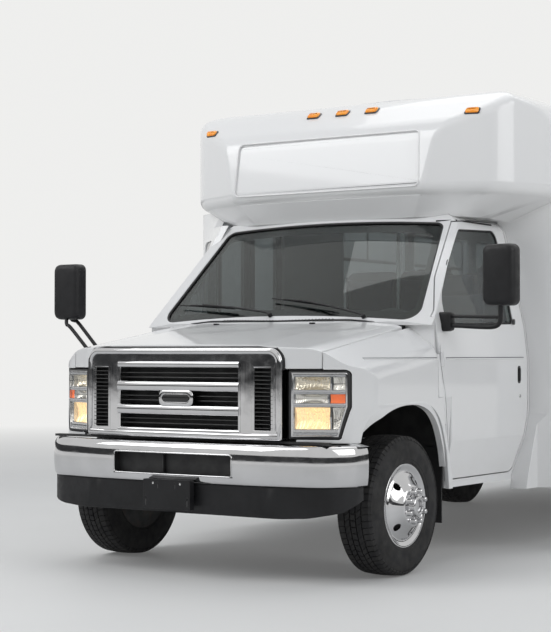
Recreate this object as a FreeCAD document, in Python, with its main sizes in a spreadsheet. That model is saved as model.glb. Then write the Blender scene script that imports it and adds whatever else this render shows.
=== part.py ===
import FreeCAD, Part
import math
import os
import re

import Sketcher

# A minibus on a cutaway van chassis, at its real size in millimetres.
# +Z is up, the front faces -Y and the driver's side is +X. The origin is on the ground, in the middle
# of the overall length and width. In the comments, "station" is a distance behind the front axle.

V = FreeCAD.Vector
doc = FreeCAD.newDocument("minibus")
sheet = doc.addObject("Spreadsheet::Sheet", "Sizes")

# alias, value in mm or degrees
SIZES = (
    ("front_overhang", 752),
    ("wheelbase", 4013),
    ("rear_overhang", 2250),
    ("body_width", 2480),
    ("roof_height", 2800),
    ("skirt_height", 375),
    ("wall", 50),
    ("seat_gap", 0.3),
    ("door_gap", 6),
    ("cab_half_width", 1005),
    ("cab_wall", 45),
    ("cab_rear", 1490),
    ("skin", 26),
    ("sill_height", 430),
    ("belt_height", 1340),
    ("crease_height", 1145),
    ("cab_floor_top", 730),
    ("cab_floor_plate", 39.7),
    ("floor_top", 750),
    ("floor_plate", 30),
    ("tyre_radius", 372.5),
    ("tyre_width", 223),
    ("bead_radius", 205),
    ("rear_track_inset", 290),
    ("twin_spacing", 260),
    ("kingpin_half", 790),
    ("wheel_offset", 91),
    ("pin_radius", 16),
    ("pin_clearance", 0.08),
    ("beam_depth", 74),
    ("beam_width", 70),
    ("eye_radius", 38),
    ("fork_plate", 26),
    ("spindle_radius", 25),
    ("rear_spindle_radius", 32),
    ("hub_radius", 95),
    ("nut_circle", 165.1),
    ("nut_radius", 15),
    ("hand_hole_radius", 19),
    ("rail_half", 432),
    ("rail_width", 70),
    ("rail_height", 160),
    ("rail_bottom", 530),
    ("cross_height", 100),
    ("cross_length", 80),
    ("engine_length", 650),
    ("engine_height", 560),
    ("engine_bottom", 480),
    ("tank_width", 480),
    ("tank_height", 220),
    ("tank_corner", 40),
    ("pipe_radius", 38),
    ("pipe_height", 480),
    ("silencer_radius", 90),
    ("silencer_length", 620),
    ("axle_tube_radius", 55),
    ("differential_radius", 165),
    ("leaf_width", 76),
    ("leaf_thickness", 50),
    ("leaf_length", 1500),
    ("coil_radius", 34),
    ("wheelhouse_top", 935),
    ("liner", 20),
    ("grille_half_width", 640),
    ("grille_bottom", 733),
    ("grille_top", 1206),
    ("grille_depth", 52),
    ("lamp_depth", 90),
    ("bumper_bottom", 500),
    ("bumper_top", 712),
    ("bumper_depth", 70),
    ("slot_half_width", 383),
    ("slot_bottom", 545),
    ("slot_top", 652),
    ("valance_bottom", 340),
    ("plate_width", 308),
    ("plate_height", 154),
    ("plate_bottom", 363),
    ("plate_depth", 38),
    ("plate_hole_spacing", 177.8),
    ("plate_hole_radius", 3.5),
    ("glass", 6),
    ("glass_set", 12),
    ("mirror_half_reach", 1330),
    ("mirror_width", 190),
    ("mirror_height", 335),
    ("mirror_depth", 95),
    ("pod_front", 735),
    ("pod_bottom", 2090),
    ("pod_skin", 30),
    ("pod_round", 80),
    ("soffit_low", 1976),
    ("soffit_inset", 45),
    ("lamp_height", 22),
    ("pod_rear", 1560),
    ("sign_half_width", 650),
    ("sign_depth", 9),
    ("roof_corner", 190),
    ("window_bottom", 1330),
    ("window_drop", 670),
    ("window_corner", 60),
    ("entry_start", 1320),
    ("entry_width", 790),
    ("entry_bottom", 400),
    ("entry_drop", 440),
    ("entry_leaf", 36),
    ("meeting_gap", 8),
    ("rear_door_width", 820),
    ("rear_door_bottom", 700),
    ("rear_door_drop", 500),
    ("rear_arch_radius", 445),
    ("aisle_half", 289.7),
    ("seat_pitch", 760),
    ("bumper_rear_height", 150),
    ("bumper_rear_bottom", 440),
    ("bumper_rear_depth", 63),
)
for row, (alias, value) in enumerate(SIZES, 1):
    sheet.set(f"A{row}", alias)
    sheet.set(f"B{row}", str(value))
    sheet.setAlias(f"B{row}", alias)
doc.recompute()
S = {alias: float(sheet.get(alias)) for alias, _ in SIZES}
ALIAS = re.compile(r"\b(" + "|".join(alias for alias, _ in SIZES) + r")\b")

overall_length = S["front_overhang"] + S["plate_depth"] + S["wheelbase"] + S["rear_overhang"]
front_axle = -overall_length / 2 + S["front_overhang"] + S["plate_depth"]
FRONT_AXLE = "((front_overhang + plate_depth - wheelbase - rear_overhang) / 2)"
REAR_AXLE = "((front_overhang + plate_depth + wheelbase - rear_overhang) / 2)"
rear_axle = front_axle + S["wheelbase"]
body_end = front_axle + S["wheelbase"] + S["rear_overhang"] - S["bumper_rear_depth"]
half_body = S["body_width"] / 2
front_track = S["kingpin_half"] + S["wheel_offset"]
rear_track = half_body - S["rear_track_inset"]
roof_top = S["roof_height"]
window_top = roof_top - S["window_drop"]
entry_top = roof_top - S["entry_drop"]
rear_door_top = roof_top - S["rear_door_drop"]
seat_width = half_body - S["wall"] - S["seat_gap"] - S["aisle_half"]
FRONT_TRACK = "(kingpin_half + wheel_offset)"
REAR_TRACK = "(body_width / 2 - rear_track_inset)"
BIG = 4000.0

nodes = {}


def bind(item, prop, words):
    """Ties a property to sheet cells. The words are an expression of their names."""
    item.setExpression(prop, ALIAS.sub(r"Sizes.\1", words))


def number_of(words):
    """The number that an expression of cell names stands for."""
    total = FreeCAD.Units.Quantity(ALIAS.sub(lambda m: repr(S[m.group(1)]), words))
    return total.Value


def node(label, item):
    """Names one piece. A bare shape gets an object of its own."""
    if isinstance(item, Part.Shape):
        made = doc.addObject("Part::Feature", label)
        made.Shape = item
        item = made
    item.Label = label
    nodes[label] = item
    return item


def place(item, x="0", y="0", z="0", rotation=None):
    if rotation is not None:
        item.Placement = FreeCAD.Placement(V(0, 0, 0), rotation)
    for axis, words in (("x", x), ("y", y), ("z", z)):
        bind(item, "Placement.Base." + axis, words)
    return item


def box(name, width, length, height, x, y, z):
    """A block given by expressions, its lowest corner at x, y, z."""
    item = doc.addObject("Part::Box", name)
    for prop, words in (("Width", length), ("Length", width), ("Height", height)):
        bind(item, prop, words)
    return place(item, x, y, z)


def rod(name, radius, length, x, y, z, along="Z"):
    """A cylinder given by expressions, from x, y, z along an axis."""
    item = doc.addObject("Part::Cylinder", name)
    bind(item, "Radius", radius)
    bind(item, "Height", length)
    turn = {
        "X": FreeCAD.Rotation(V(0, 1, 0), 90),
        "Y": FreeCAD.Rotation(V(1, 0, 0), -90),
        "Z": FreeCAD.Rotation(),
    }[along]
    return place(item, x, y, z, turn)


def joined(name, items):
    made = doc.addObject("Part::MultiFuse", name)
    made.Shapes = items
    return made


def grouped(name, items):
    made = doc.addObject("Part::Compound", name)
    made.Links = items
    return made


def cut(name, base, tool):
    made = doc.addObject("Part::Cut", name)
    made.Base = base
    made.Tool = tool
    return made


def sketch(body, role, corners):
    """A closed sketch on an origin plane. Each corner is a pair of expressions."""
    item = body.newObject("Sketcher::SketchObject", body.Name + "_profile")
    plane = [f for f in body.Origin.OriginFeatures if f.Role == role][0]
    item.AttachmentSupport = (plane, [""])
    item.MapMode = "FlatFace"
    points = [V(number_of(u), number_of(v), 0) for u, v in corners]
    count = len(points)
    for i in range(count):
        item.addGeometry(Part.LineSegment(points[i], points[(i + 1) % count]), False)
    for i in range(count):
        item.addConstraint(Sketcher.Constraint("Coincident", i, 2, (i + 1) % count, 1))
    for i, (u, v) in enumerate(corners):
        for kind, words, axis in (("DistanceX", u, -2), ("DistanceY", v, -1)):
            if abs(number_of(words)) < 1e-9:
                item.addConstraint(Sketcher.Constraint("PointOnObject", i, 1, axis))
                continue
            number = item.addConstraint(Sketcher.Constraint(kind, -1, 1, i, 1, number_of(words)))
            item.renameConstraint(number, f"{kind}{i}")
            bind(item, f"Constraints.{kind}{i}", words)
    return item


def body(name):
    return doc.addObject("PartDesign::Body", name)


def pad(item, profile, length, midplane=False):
    made = item.newObject("PartDesign::Pad", item.Name + "_pad")
    made.Profile = profile
    bind(made, "Length", length)
    made.Midplane = midplane
    return made


def revolved(item, profile, axis="H_Axis"):
    made = item.newObject("PartDesign::Revolution", item.Name + "_turned")
    made.Profile = profile
    made.ReferenceAxis = (profile, [axis])
    made.Angle = 360
    return made


# Outlines with rounded corners, and the prisms made from them


def outline(corners, to_space):
    """A closed wire. Each corner is (u, v) or (u, v, radius): straight runs joined by tangent arcs."""
    count = len(corners)
    flat = [(c[0], c[1], c[2] if len(c) > 2 else 0.0) for c in corners]
    legs = []
    for i, (u, v, radius) in enumerate(flat):
        before = V(flat[i - 1][0] - u, flat[i - 1][1] - v, 0)
        after = V(flat[(i + 1) % count][0] - u, flat[(i + 1) % count][1] - v, 0)
        here = V(u, v, 0)
        if radius < 0.01:
            legs.append((here, None, here))
            continue
        half = before.getAngle(after) / 2
        reach = radius / math.tan(half)
        before.normalize()
        after.normalize()
        middle = before + after
        middle.normalize()
        crown = here + middle * (radius / math.sin(half) - radius)
        legs.append((here + before * reach, crown, here + after * reach))
    edges = []
    for i, (start, crown, end) in enumerate(legs):
        if crown is not None:
            edges.append(Part.Arc(to_space(start), to_space(crown), to_space(end)).toShape())
        following = legs[(i + 1) % count][0]
        if (following - end).Length > 0.01:
            edges.append(Part.LineSegment(to_space(end), to_space(following)).toShape())
    return Part.Wire(edges)


def prism_x(corners, x0, x1):
    """Corners are (station, height)."""
    wire = outline(corners, lambda p: V(x0, p.x + front_axle, p.y))
    return Part.Face(wire).extrude(V(x1 - x0, 0, 0))


def prism_y(corners, a0, a1, rise=0.0):
    """Corners are (x, height), at station a0. The prism climbs by rise for each mm along Y."""
    wire = outline(corners, lambda p: V(p.x, a0 + front_axle, p.y))
    return Part.Face(wire).extrude(V(0, a1 - a0, (a1 - a0) * rise))


def prism_z(corners, z0, z1):
    """Corners are (x, station)."""
    wire = outline(corners, lambda p: V(p.x, p.y + front_axle, z0))
    return Part.Face(wire).extrude(V(0, 0, z1 - z0))


def rounded_box(u0, u1, v0, v1, radius):
    """The corners of a rounded rectangle."""
    return [(u0, v0, radius), (u1, v0, radius), (u1, v1, radius), (u0, v1, radius)]


def mirrored(half):
    """Both sides of an outline whose right half runs from its bottom to its top."""
    left = [(-c[0],) + tuple(c[1:]) for c in reversed(half) if abs(c[0]) > 0.01]
    return list(half) + left


def both_sides(half):
    """A whole plan from its right half, which runs from the front to the rear."""
    return list(half) + [(-c[0],) + tuple(c[1:]) for c in reversed(half) if c[0] > 0.01]


def slab(x0, x1, a0, a1, z0, z1):
    return Part.makeBox(x1 - x0, a1 - a0, z1 - z0, V(x0, a0 + front_axle, z0))


def flipped(shape):
    """The same piece on the other side."""
    return shape.mirror(V(0, 0, 0), V(1, 0, 0))


def fused(first, *others):
    return first.multiFuse(list(others)).removeSplitter()


def largest(shape):
    """The main solid of a shape, without the crumbs that cutting leaves."""
    return max(shape.Solids, key=lambda solid: solid.Volume)


# The cab: its section from the front, its side profile and the curved windscreen

WINDSCREEN_FOOT = (250.0, 1370.0)
WINDSCREEN_HEAD = (852.0, 1985.0)
WINDSCREEN_BOW = 7600.0
HEADER_HALF = 700.0
CAB_TOP = 2040.0


def cab_section(inset):
    """The cab's half outline from the front, as (x, height, radius)."""
    wide = S["cab_half_width"] - inset
    return [
        (wide - 45, S["sill_height"] - 200, 0),
        (wide - 45, S["sill_height"] + 30, 0),
        (wide, 690, 60),
        (wide, S["crease_height"], 30),
        (wide - 22, S["belt_height"], 160),
        (wide - 155, 1930, 70),
        (wide - 320, CAB_TOP - inset, 120),
    ]


def windscreen_outside(inset, reach=BIG):
    """Everything behind the windscreen's outer face, moved inwards by inset."""
    foot = V(0, WINDSCREEN_FOOT[0] + front_axle, WINDSCREEN_FOOT[1])
    head = V(0, WINDSCREEN_HEAD[0] + front_axle, WINDSCREEN_HEAD[1])
    along = (head - foot).normalize()
    inward = along.cross(V(1, 0, 0)).normalize()
    if inward.y < 0:
        inward = inward * -1
    centre = foot + inward * WINDSCREEN_BOW - along * reach
    return Part.makeCylinder(WINDSCREEN_BOW - inset, 2 * reach, centre, along)


def cab_solid(inset, floor, front_inset, rear):
    """The cab's outer form, or its inside when inset by the thickness of its walls."""
    front = 482 + front_inset
    wall = 330 + front_inset
    side = prism_x(
        [
            (front, floor),
            (front, S["wheelhouse_top"] + 2 + inset),
            (wall, S["wheelhouse_top"] + 2 + inset),
            (wall, S["belt_height"] - 10 + inset),
            (WINDSCREEN_FOOT[0] - 70 + front_inset, S["belt_height"] + inset),
            (WINDSCREEN_FOOT[0] - 70 + front_inset, WINDSCREEN_FOOT[1] + 45),
            (WINDSCREEN_HEAD[0] - 70, CAB_TOP + 100),
            (rear, CAB_TOP + 100),
            (rear, floor),
        ],
        -1500,
        1500,
    )
    form = prism_y(mirrored(cab_section(inset)), 0, 2000)
    return side.common(form).common(windscreen_outside(inset))


DOOR_OUTLINE = (
    (505, 478, 25),
    (440, 755, 200),
    (422, 926, 200),
    (362, 1140, 200),
    (342, 1320, 150),
    (350, 1416, 60),
    (770, 1930, 40),
    (1100, 1958, 900),
    (1440, 1966, 50),
    (1452, 1300, 600),
    (1452, 820, 160),
    (1310, 478, 70),
)
DOOR_WINDOW = (
    (466, 1330, 40),
    (466, 1490, 160),
    (640, 1692, 400),
    (850, 1893, 50),
    (1325, 1912, 60),
    (1342, 1780, 300),
    (1318, 1350, 40),
)
PILLAR_EDGE = ((560, -40), (953, -40), (953, 124, 60), (866, 375, 260), (800, 860), (800, 1100), (560, 1100))


def grown(corners, by):
    """The outline moved outwards by a distance. Its corners run either way round."""
    count = len(corners)
    area = sum(
        corners[i][0] * corners[(i + 1) % count][1] - corners[(i + 1) % count][0] * corners[i][1]
        for i in range(count)
    )
    sign = 1 if area > 0 else -1
    out = []
    for i, corner in enumerate(corners):
        u, v = corner[0], corner[1]
        radius = corner[2] if len(corner) > 2 else 0
        p, n = corners[i - 1], corners[(i + 1) % count]
        d0 = V(u - p[0], v - p[1], 0).normalize()
        d1 = V(n[0] - u, n[1] - v, 0).normalize()
        n0 = V(d0.y, -d0.x, 0) * sign
        n1 = V(d1.y, -d1.x, 0) * sign
        bisector = n0 + n1
        move = bisector * (by / (1 + n0.dot(n1)))
        bend = d0.cross(d1).z * sign
        wider = radius + by if bend > 0 else radius - by
        out.append((u + move.x, v + move.y, max(wider, 0.5) if radius else 0))
    return out


def windscreen_outline(by):
    """The windscreen's opening as (x, distance up the slope)."""
    return grown(mirrored([(896, 30, 95), (764, 832, 60)]), by)


def slope_prism(corners, out, back):
    """A prism square to the windscreen. Corners are (x, distance up the slope)."""
    foot = V(0, WINDSCREEN_FOOT[0] + front_axle, WINDSCREEN_FOOT[1])
    head = V(0, WINDSCREEN_HEAD[0] + front_axle, WINDSCREEN_HEAD[1])
    along = (head - foot).normalize()
    inward = V(0, along.z, -along.y)
    start = foot - inward * out
    wire = outline(corners, lambda p: start + V(p.x, 0, 0) + along * p.y)
    return Part.Face(wire).extrude(inward * (out + back))


def windscreen_prism(by):
    return slope_prism(windscreen_outline(by), 150, 250)


def cab_wall_solid():
    outer = cab_solid(0, S["sill_height"], 0, S["cab_rear"])
    inner = cab_solid(S["cab_wall"], S["cab_floor_top"], S["cab_wall"] - 15, S["cab_rear"] + 100)
    under = slab(-880, 880, 470, 1600, 0, S["cab_floor_top"] - S["cab_floor_plate"])
    return outer.cut(inner).cut(under)


cab_walls = cab_wall_solid()
door_inside = S["cab_half_width"] - 80
left_door_zone = prism_x(list(DOOR_OUTLINE), 620, 1300).cut(slope_prism(list(PILLAR_EDGE), 200, 160))
left_door_zone = left_door_zone.cut(slab(500, door_inside, 200, 1600, 300, 1250))
left_door_hole = prism_x(grown(list(DOOR_OUTLINE), S["door_gap"]), 560, 1300)
left_door_hole = left_door_hole.cut(slope_prism(grown(list(PILLAR_EDGE), -S["door_gap"]), 200, 160))
left_door_hole = left_door_hole.cut(slab(500, door_inside - S["door_gap"], 200, 1600, 300, 1250))


def ahead_of_cowl():
    """Everything ahead of the line where the cowl begins, seen from above."""
    rear = [(-HOOD_HALF, HOOD_REAR_SIDE + 8), (0, HOOD_REAR_MIDDLE + 8), (HOOD_HALF, HOOD_REAR_SIDE + 8)]
    ends = [(1300, HOOD_REAR_SIDE + 30), (1300, -900), (-1300, -900), (-1300, HOOD_REAR_SIDE + 30)]
    return prism_z([*rear, *ends], 1200, 1600)


HOOD_HALF = 805.0
HOOD_REAR_MIDDLE = 172.0
HOOD_REAR_SIDE = 285.0


def make_cab_shell():
    """Floor, firewall, pillars and header. The kerb side has no van door: the panel behind covers it."""
    shell = cab_walls.cut(left_door_hole)
    shell = shell.cut(windscreen_prism(0)).cut(ahead_of_cowl())
    # ahead of the doors, the fenders cover the sides below the belt
    fender_side = [
        (100, 300),
        (100, S["belt_height"] + 18),
        (372, S["belt_height"] + 18),
        (372, 1145),
        (425, 755),
        (512, 455),
        (512, 300),
    ]
    clear = S["cab_half_width"] - S["skin"] - 1
    for x0, x1 in ((clear, 1300), (-1300, -clear)):
        shell = shell.cut(prism_x(fender_side, x0, x1))
    # the kerb side is open behind its windscreen pillar, and the roof behind the header
    kerb = [
        (540, 600),
        (540, 1340),
        (600, 1480),
        (905, 1890),
        (905, 2200),
        (1700, 2200),
        (1700, 300),
        (540, 300),
    ]
    shell = shell.cut(prism_x(kerb, -1300, -690))
    shell = shell.cut(slab(-HEADER_HALF, HEADER_HALF, 985, 1700, 1900, 2300))
    return shell


node("cab_shell", make_cab_shell())
windscreen_glass = (
    windscreen_outside(S["glass_set"])
    .cut(windscreen_outside(S["glass_set"] + S["glass"]))
    .common(windscreen_prism(-S["seat_gap"]))
)
node("windscreen", windscreen_glass)

# The driver's door: a hollow panel with its glass, handle and mirror


def make_door():
    panel = cab_walls.common(left_door_zone)
    panel = panel.cut(prism_x(list(DOOR_WINDOW), 500, 1300))
    section = mirrored(cab_section(S["glass_set"]))
    skin = prism_y(section, 0, 2000).cut(
        prism_y(mirrored(cab_section(S["glass_set"] + S["glass"])), -10, 2010)
    )
    glass = skin.common(prism_x(grown(list(DOOR_WINDOW), -S["seat_gap"]), 500, 1300))
    return panel, glass


door_panel, door_glass = make_door()
handle_cup = prism_x(rounded_box(1322, 1358, 1000, 1100, 14), 0, 40)
handle_cup.translate(V(S["cab_half_width"] - 14, 0, 0))
door_panel = door_panel.cut(handle_cup)
DOOR_HINGE = V(S["cab_half_width"] + 2, 362 + front_axle, 1105)
hinge_barrel = Part.makeCylinder(S["door_gap"] - S["seat_gap"], 80, DOOR_HINGE)
hinge_strap = slab(996, 1007, 362, 396, 1105, 1185)
door_panel = door_panel.fuse(hinge_barrel).fuse(hinge_strap)
node("driver_door", door_panel)
node("driver_door_glass", door_glass)
handle = prism_x(rounded_box(1326, 1354, 1006, 1094, 12), 0, 22)
handle.translate(V(S["cab_half_width"] - 14, 0, 0))
node("driver_door_handle", handle)

# Fenders, hood and the front: one curved skin, split where the panels meet

HOOD_SLOPE = 0.155
ARCH = ((-452, 380, 0), (-440, 640, 120), (-385, 900, 190), (330, 905, 230), (428, 640, 200), (462, 380, 0))


def nose_solid(inset):
    wide = S["cab_half_width"] - inset
    top = [
        (wide, 300),
        (wide, 1140 - inset, 130),
        (800 - inset * 0.6, 1292 - inset, 260),
        (480, 1322 - inset, 500),
        (0, 1328 - inset),
    ]
    rise = HOOD_SLOPE * -800
    sloped = [(c[0], c[1] + rise) + tuple(c[2:]) for c in top]
    lid = prism_y(mirrored(sloped), -800, 700, HOOD_SLOPE)
    plan = [
        (0, -672 + inset),
        (640, -652 + inset, 260),
        (930, -508 + inset, 150),
        (wide, -330, 120),
        (wide, 700),
    ]
    return lid.common(prism_z(both_sides(plan), 300, 1500))


HOOD_PLAN = [
    (0, -900),
    (HOOD_HALF + 12, -900),
    (HOOD_HALF + 12, -500, 0),
    (HOOD_HALF, HOOD_REAR_SIDE),
    (0, HOOD_REAR_MIDDLE),
]


HOOD_LIP = 1098.0
HOOD_TONGUE = (735, 765)


def make_front():
    skin = nose_solid(0).cut(nose_solid(S["skin"]))
    over_hood = prism_z(both_sides(HOOD_PLAN), HOOD_LIP, 1600)
    gap = S["door_gap"]
    wider = [(c[0] + (gap if c[0] > 1 else 0), c[1] + (gap if c[1] > 0 else 0)) for c in HOOD_PLAN]
    around_hood = prism_z(both_sides(wider), HOOD_LIP - gap, 1600)
    side, crown = S["grille_half_width"] + gap, S["grille_top"] + gap
    grille_hole = prism_y([(-side, 600), (side, 600), (side, crown, 78), (-side, crown, 78)], -800, -560)
    hood = skin.common(over_hood).cut(grille_hole)
    fenders = skin.cut(around_hood)
    fenders = fenders.cut(slab(-1300, 1300, -900, 900, 0, S["bumper_top"] + 8))
    low_rear = slab(-1300, 1300, 300, 600, S["sill_height"], S["bumper_top"] + 8)
    rear_low = skin.cut(around_hood).common(low_rear)
    fenders = fenders.fuse(rear_low)
    # behind the hood the fender tops end at the windscreen pillars, and at the doors' front edges
    door_edge = [
        (505 - 6, 300),
        (505 - 6, 478),
        (425 - 6, 755),
        (362 - 6, 1145),
        (362 - 6, S["belt_height"] + 16),
        (362 - 6, 2000),
        (900, 2000),
        (900, 300),
    ]
    fenders = fenders.cut(prism_x(door_edge, -1300, 1300))
    fenders = fenders.cut(slab(-HOOD_HALF - 20, HOOD_HALF + 20, 150, 900, 1000, 2000))
    fenders = fenders.cut(prism_x(list(ARCH), -1300, 1300))
    fenders = fenders.cut(grille_hole)
    fenders = fenders.cut(lamp_zone(4.0))
    fenders = fenders.cut(slab(-700, 700, -900, -400, 0, HOOD_LIP))
    fenders = fenders.cut(cab_solid(-0.3, 300, -0.3, 1600))
    return hood, fenders


LAMP_OUTLINE = ((664, 742), (900, 742, 12), (938, 905, 10), (938, 1090, 22), (664, 1090, 10))


def lamp_zone(by):
    """Where the headlamps sit, seen from the front."""
    right = prism_y(grown(list(LAMP_OUTLINE), by), -800, -400)
    return right.fuse(flipped(right))


hood_shape, fender_shape = make_front()
node("hood", hood_shape)
node("fenders", fender_shape)
lamp_body = (
    nose_solid(3)
    .common(lamp_zone(0))
    .cut(nose_solid(3 + S["lamp_depth"]).common(slab(-1200, 1200, -800, 0, 0, 2000)))
)
node("headlamps", lamp_body)

# Cowl between the hood and the windscreen
cowl_outer = prism_x(
    [(176, 1296), (176, 1344), (262, 1372), (330, 1372), (330, 1296)], -HOOD_HALF + 4, HOOD_HALF - 4
)
cowl = cowl_outer.common(nose_solid(-6)).cut(cab_solid(-0.3, 300, -0.3, 1600))
cowl = cowl.cut(ahead_of_cowl())
# a tongue on each side lies just under the hood's rear corner
under_hood = nose_solid(S["skin"] + 0.7)
for x0, x1 in (HOOD_TONGUE, (-HOOD_TONGUE[1], -HOOD_TONGUE[0])):
    cowl = cowl.fuse(slab(x0, x1, 258, 300, 1280, 1400).common(under_hood))
cowl = cowl.cut(cab_solid(-0.3, 300, -0.3, 1600))
node("cowl", cowl)


# Grille: chrome surround and bars over a dark insert

GRILLE_BARS = ((852, 905), (977, 1030), (1102, 1158))
MESH_INNER = 484.0
MESH_OUTER = 577.0
BAR_END = 388.0


def make_grille():
    half, bottom, top = S["grille_half_width"], S["grille_bottom"], S["grille_top"]
    front = -652 - S["grille_depth"]
    blank = [(-half, bottom, 12), (half, bottom, 12), (half, top, 72), (-half, top, 72)]
    plate = prism_y(blank, front, -606)
    bow = both_sides([(300, front, 900), (half + 5, front + 40), (half + 5, -580)])
    bow = prism_z(bow, bottom - 5, top + 5)
    plate = plate.common(bow)
    edges = [783, *[z for bar in GRILLE_BARS for z in bar]]
    for low, high in zip(edges[0::2], edges[1::2]):
        plate = plate.cut(slab(-BAR_END, BAR_END, -800, -600, low, high))
    for side in (-1, 1):
        x0, x1 = sorted((side * MESH_INNER, side * MESH_OUTER))
        plate = plate.cut(slab(x0, x1, -800, -600, 783, 1102))
    badge = prism_y(
        [(-104, 905, 14), (104, 905, 14), (104, 977, 14), (-104, 977, 14)], front - 4, front + 14
    )
    backing = slab(-60, 60, front + 6, -620, 905, 977)
    return plate.fuse(badge).fuse(backing).removeSplitter()


node("grille", make_grille())
insert_half = S["grille_half_width"] - 6
insert = slab(-insert_half, insert_half, -605.7, -585, S["grille_bottom"] + 4, S["grille_top"] - 40)
node("grille_insert", insert)
# the panel that carries the grille, the lamps and the fenders' front ends
support_plan = both_sides(
    [(640, -584.7), (850, -490), (960, -400), (960, -370), (820, -370), (620, -540)]
)
support = prism_z(support_plan, S["bumper_top"] + 10, 1075)
behind_lamps = nose_solid(3 + S["lamp_depth"] + S["seat_gap"])
support = support.common(behind_lamps.fuse(slab(-640, 640, -590, -400, 0, 2000)))
support = support.cut(prism_x(list(ARCH), -1300, 1300).fuse(slab(-1300, 1300, -400.3, -300, 0, 2000)))
node("radiator_support", support)


# Bumper and valance: a section carried round the front

def front_band(offset, z0, z1, ends):
    """A band round the front, seen from above. Its outer face is moved in by offset."""
    half = S["cab_half_width"] - 3 - offset
    front = -S["front_overhang"] + offset
    plan = [
        (0, front),
        (560, front + 16, 1500),
        (880 - 0.6 * offset, front + 82, 220),
        (half, ends - 90, 160),
        (half, ends),
    ]
    return prism_z(both_sides(plan), z0, z1)


BUMPER_END = -424.0


def make_bumper():
    low, high = S["bumper_bottom"], S["bumper_top"]
    outer = front_band(0, low, high, BUMPER_END)
    inner = front_band(S["bumper_depth"], low - 10, high + 10, BUMPER_END + 50)
    front = -S["front_overhang"] - 2
    from_side = prism_x([(front, low, 24), (-300, low), (-300, high), (front, high, 30)], -1100, 1100)
    half = S["cab_half_width"]
    from_front = prism_y([(-half, low, 20), (half, low, 20), (half, high, 26), (-half, high, 26)], -900, -300)
    shell = outer.cut(inner).common(from_side).common(from_front)
    wide = S["slot_half_width"]
    slot = prism_y(
        [
            (-wide, S["slot_bottom"], 12),
            (wide, S["slot_bottom"], 12),
            (wide, S["slot_top"], 12),
            (-wide, S["slot_top"], 12),
        ],
        -900,
        -600,
    )
    return shell.cut(slot)


node("front_bumper", make_bumper())
lower = front_band(14, S["valance_bottom"], S["bumper_bottom"] - S["seat_gap"], BUMPER_END - 10)
lower = lower.cut(front_band(14 + 30, S["valance_bottom"] - 10, S["bumper_bottom"] + 10, BUMPER_END + 60))
undercut = prism_x([(-800, 300), (-800, 400), (-738, 400), (-690, 300)], -1200, 1200)
ends_cut = prism_x([(-560, 300), (-560, 345), (-400, 420), (-400, 300)], -1200, 1200)
node("bumper_valance", lower.cut(undercut).cut(ends_cut))

plate = body("plate_bracket")
bracket_profile = sketch(
    plate,
    "XZ_Plane",
    [
        ("-plate_width / 2", "0"),
        ("plate_width / 2", "0"),
        ("plate_width / 2", "plate_height"),
        ("-plate_width / 2", "plate_height"),
    ],
)
pad(plate, bracket_profile, "plate_depth - seat_gap")
place(plate, "0", FRONT_AXLE + " - front_overhang - seat_gap", "plate_bottom")
holes = [
    rod(
        f"plate_screw_{i}",
        "plate_hole_radius",
        "60",
        f"{side} * plate_hole_spacing / 2",
        FRONT_AXLE + " - front_overhang - 50",
        "plate_bottom + plate_height - 20",
        "Y",
    )
    for i, side in enumerate((-1, 1))
]
node("plate_bracket", cut("plate_drilled", plate, joined("plate_screws", holes)))

# Front cap: the pod over the windscreen and the flares that run out to the body's width

FLARE_FRONT = 1478.0


def body_section(inset):
    wide = half_body - inset
    return [
        (wide, S["skirt_height"]),
        (wide, roof_top - 190 - inset * 0.4, S["roof_corner"] - inset * 0.5),
        (half_body - 340 - inset * 0.5, roof_top - 24 - inset, 900),
        (0, S["roof_height"] - inset),
    ]


POD_PLAN = both_sides(
    [
        (0, S["pod_front"] - 20),
        (half_body - 580, S["pod_front"], 120),
        (half_body - 155, S["pod_front"] + 205, 330),
        (half_body + 6, S["pod_front"] + 574, 420),
        (half_body + 6, S["pod_rear"] + 310),
    ]
)
# the line where the soffit leaves the cab's roof
CAB_ROOF_PLAN = both_sides(
    [
        (0, WINDSCREEN_HEAD[0] - 6),
        (560, WINDSCREEN_HEAD[0] - 2, 75),
        (820, WINDSCREEN_HEAD[0] + 78, 200),
        (890, WINDSCREEN_HEAD[0] + 328, 375),
        (890, S["pod_rear"] + 265),
    ]
)


def make_pod_core():
    """The pod's form, smaller all round by the radius of its edges."""
    by = -S["pod_round"]
    front, rear = S["pod_front"], S["pod_rear"] + 300
    low, rise = S["pod_bottom"], roof_top - S["pod_bottom"]
    side = [
        (front, low),
        (front + 46, low + 0.5775 * rise, 200),
        (front + 330, low + 0.876 * rise, 420),
        (rear, roof_top + 10),
        (rear, low),
    ]
    core = prism_x(grown(side, by), -1500, 1500).common(prism_z(grown(POD_PLAN, by), 1500, roof_top + 400))
    return core.common(prism_y(grown(mirrored(body_section(0)), by), 300, 2000))


pod_core = make_pod_core()


def pod_solid(inset):
    """The pod with its round edges, or its inside when inset by a skin's thickness."""
    return pod_core.makeOffsetShape(S["pod_round"] - inset, 0.01, join=0)


def soffit_solid(inset):
    """From the cab's roof line out to the pod's underside."""
    low, high = S["soffit_low"] + inset, S["pod_bottom"] + 10 + inset
    wires = [
        outline(grown(plan, by - inset), lambda p, z=z: V(p.x, p.y + front_axle, z))
        for plan, by, z in ((CAB_ROOF_PLAN, 0, low), (POD_PLAN, -S["soffit_inset"], high))
    ]
    return Part.makeLoft(wires, True, True)


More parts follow.
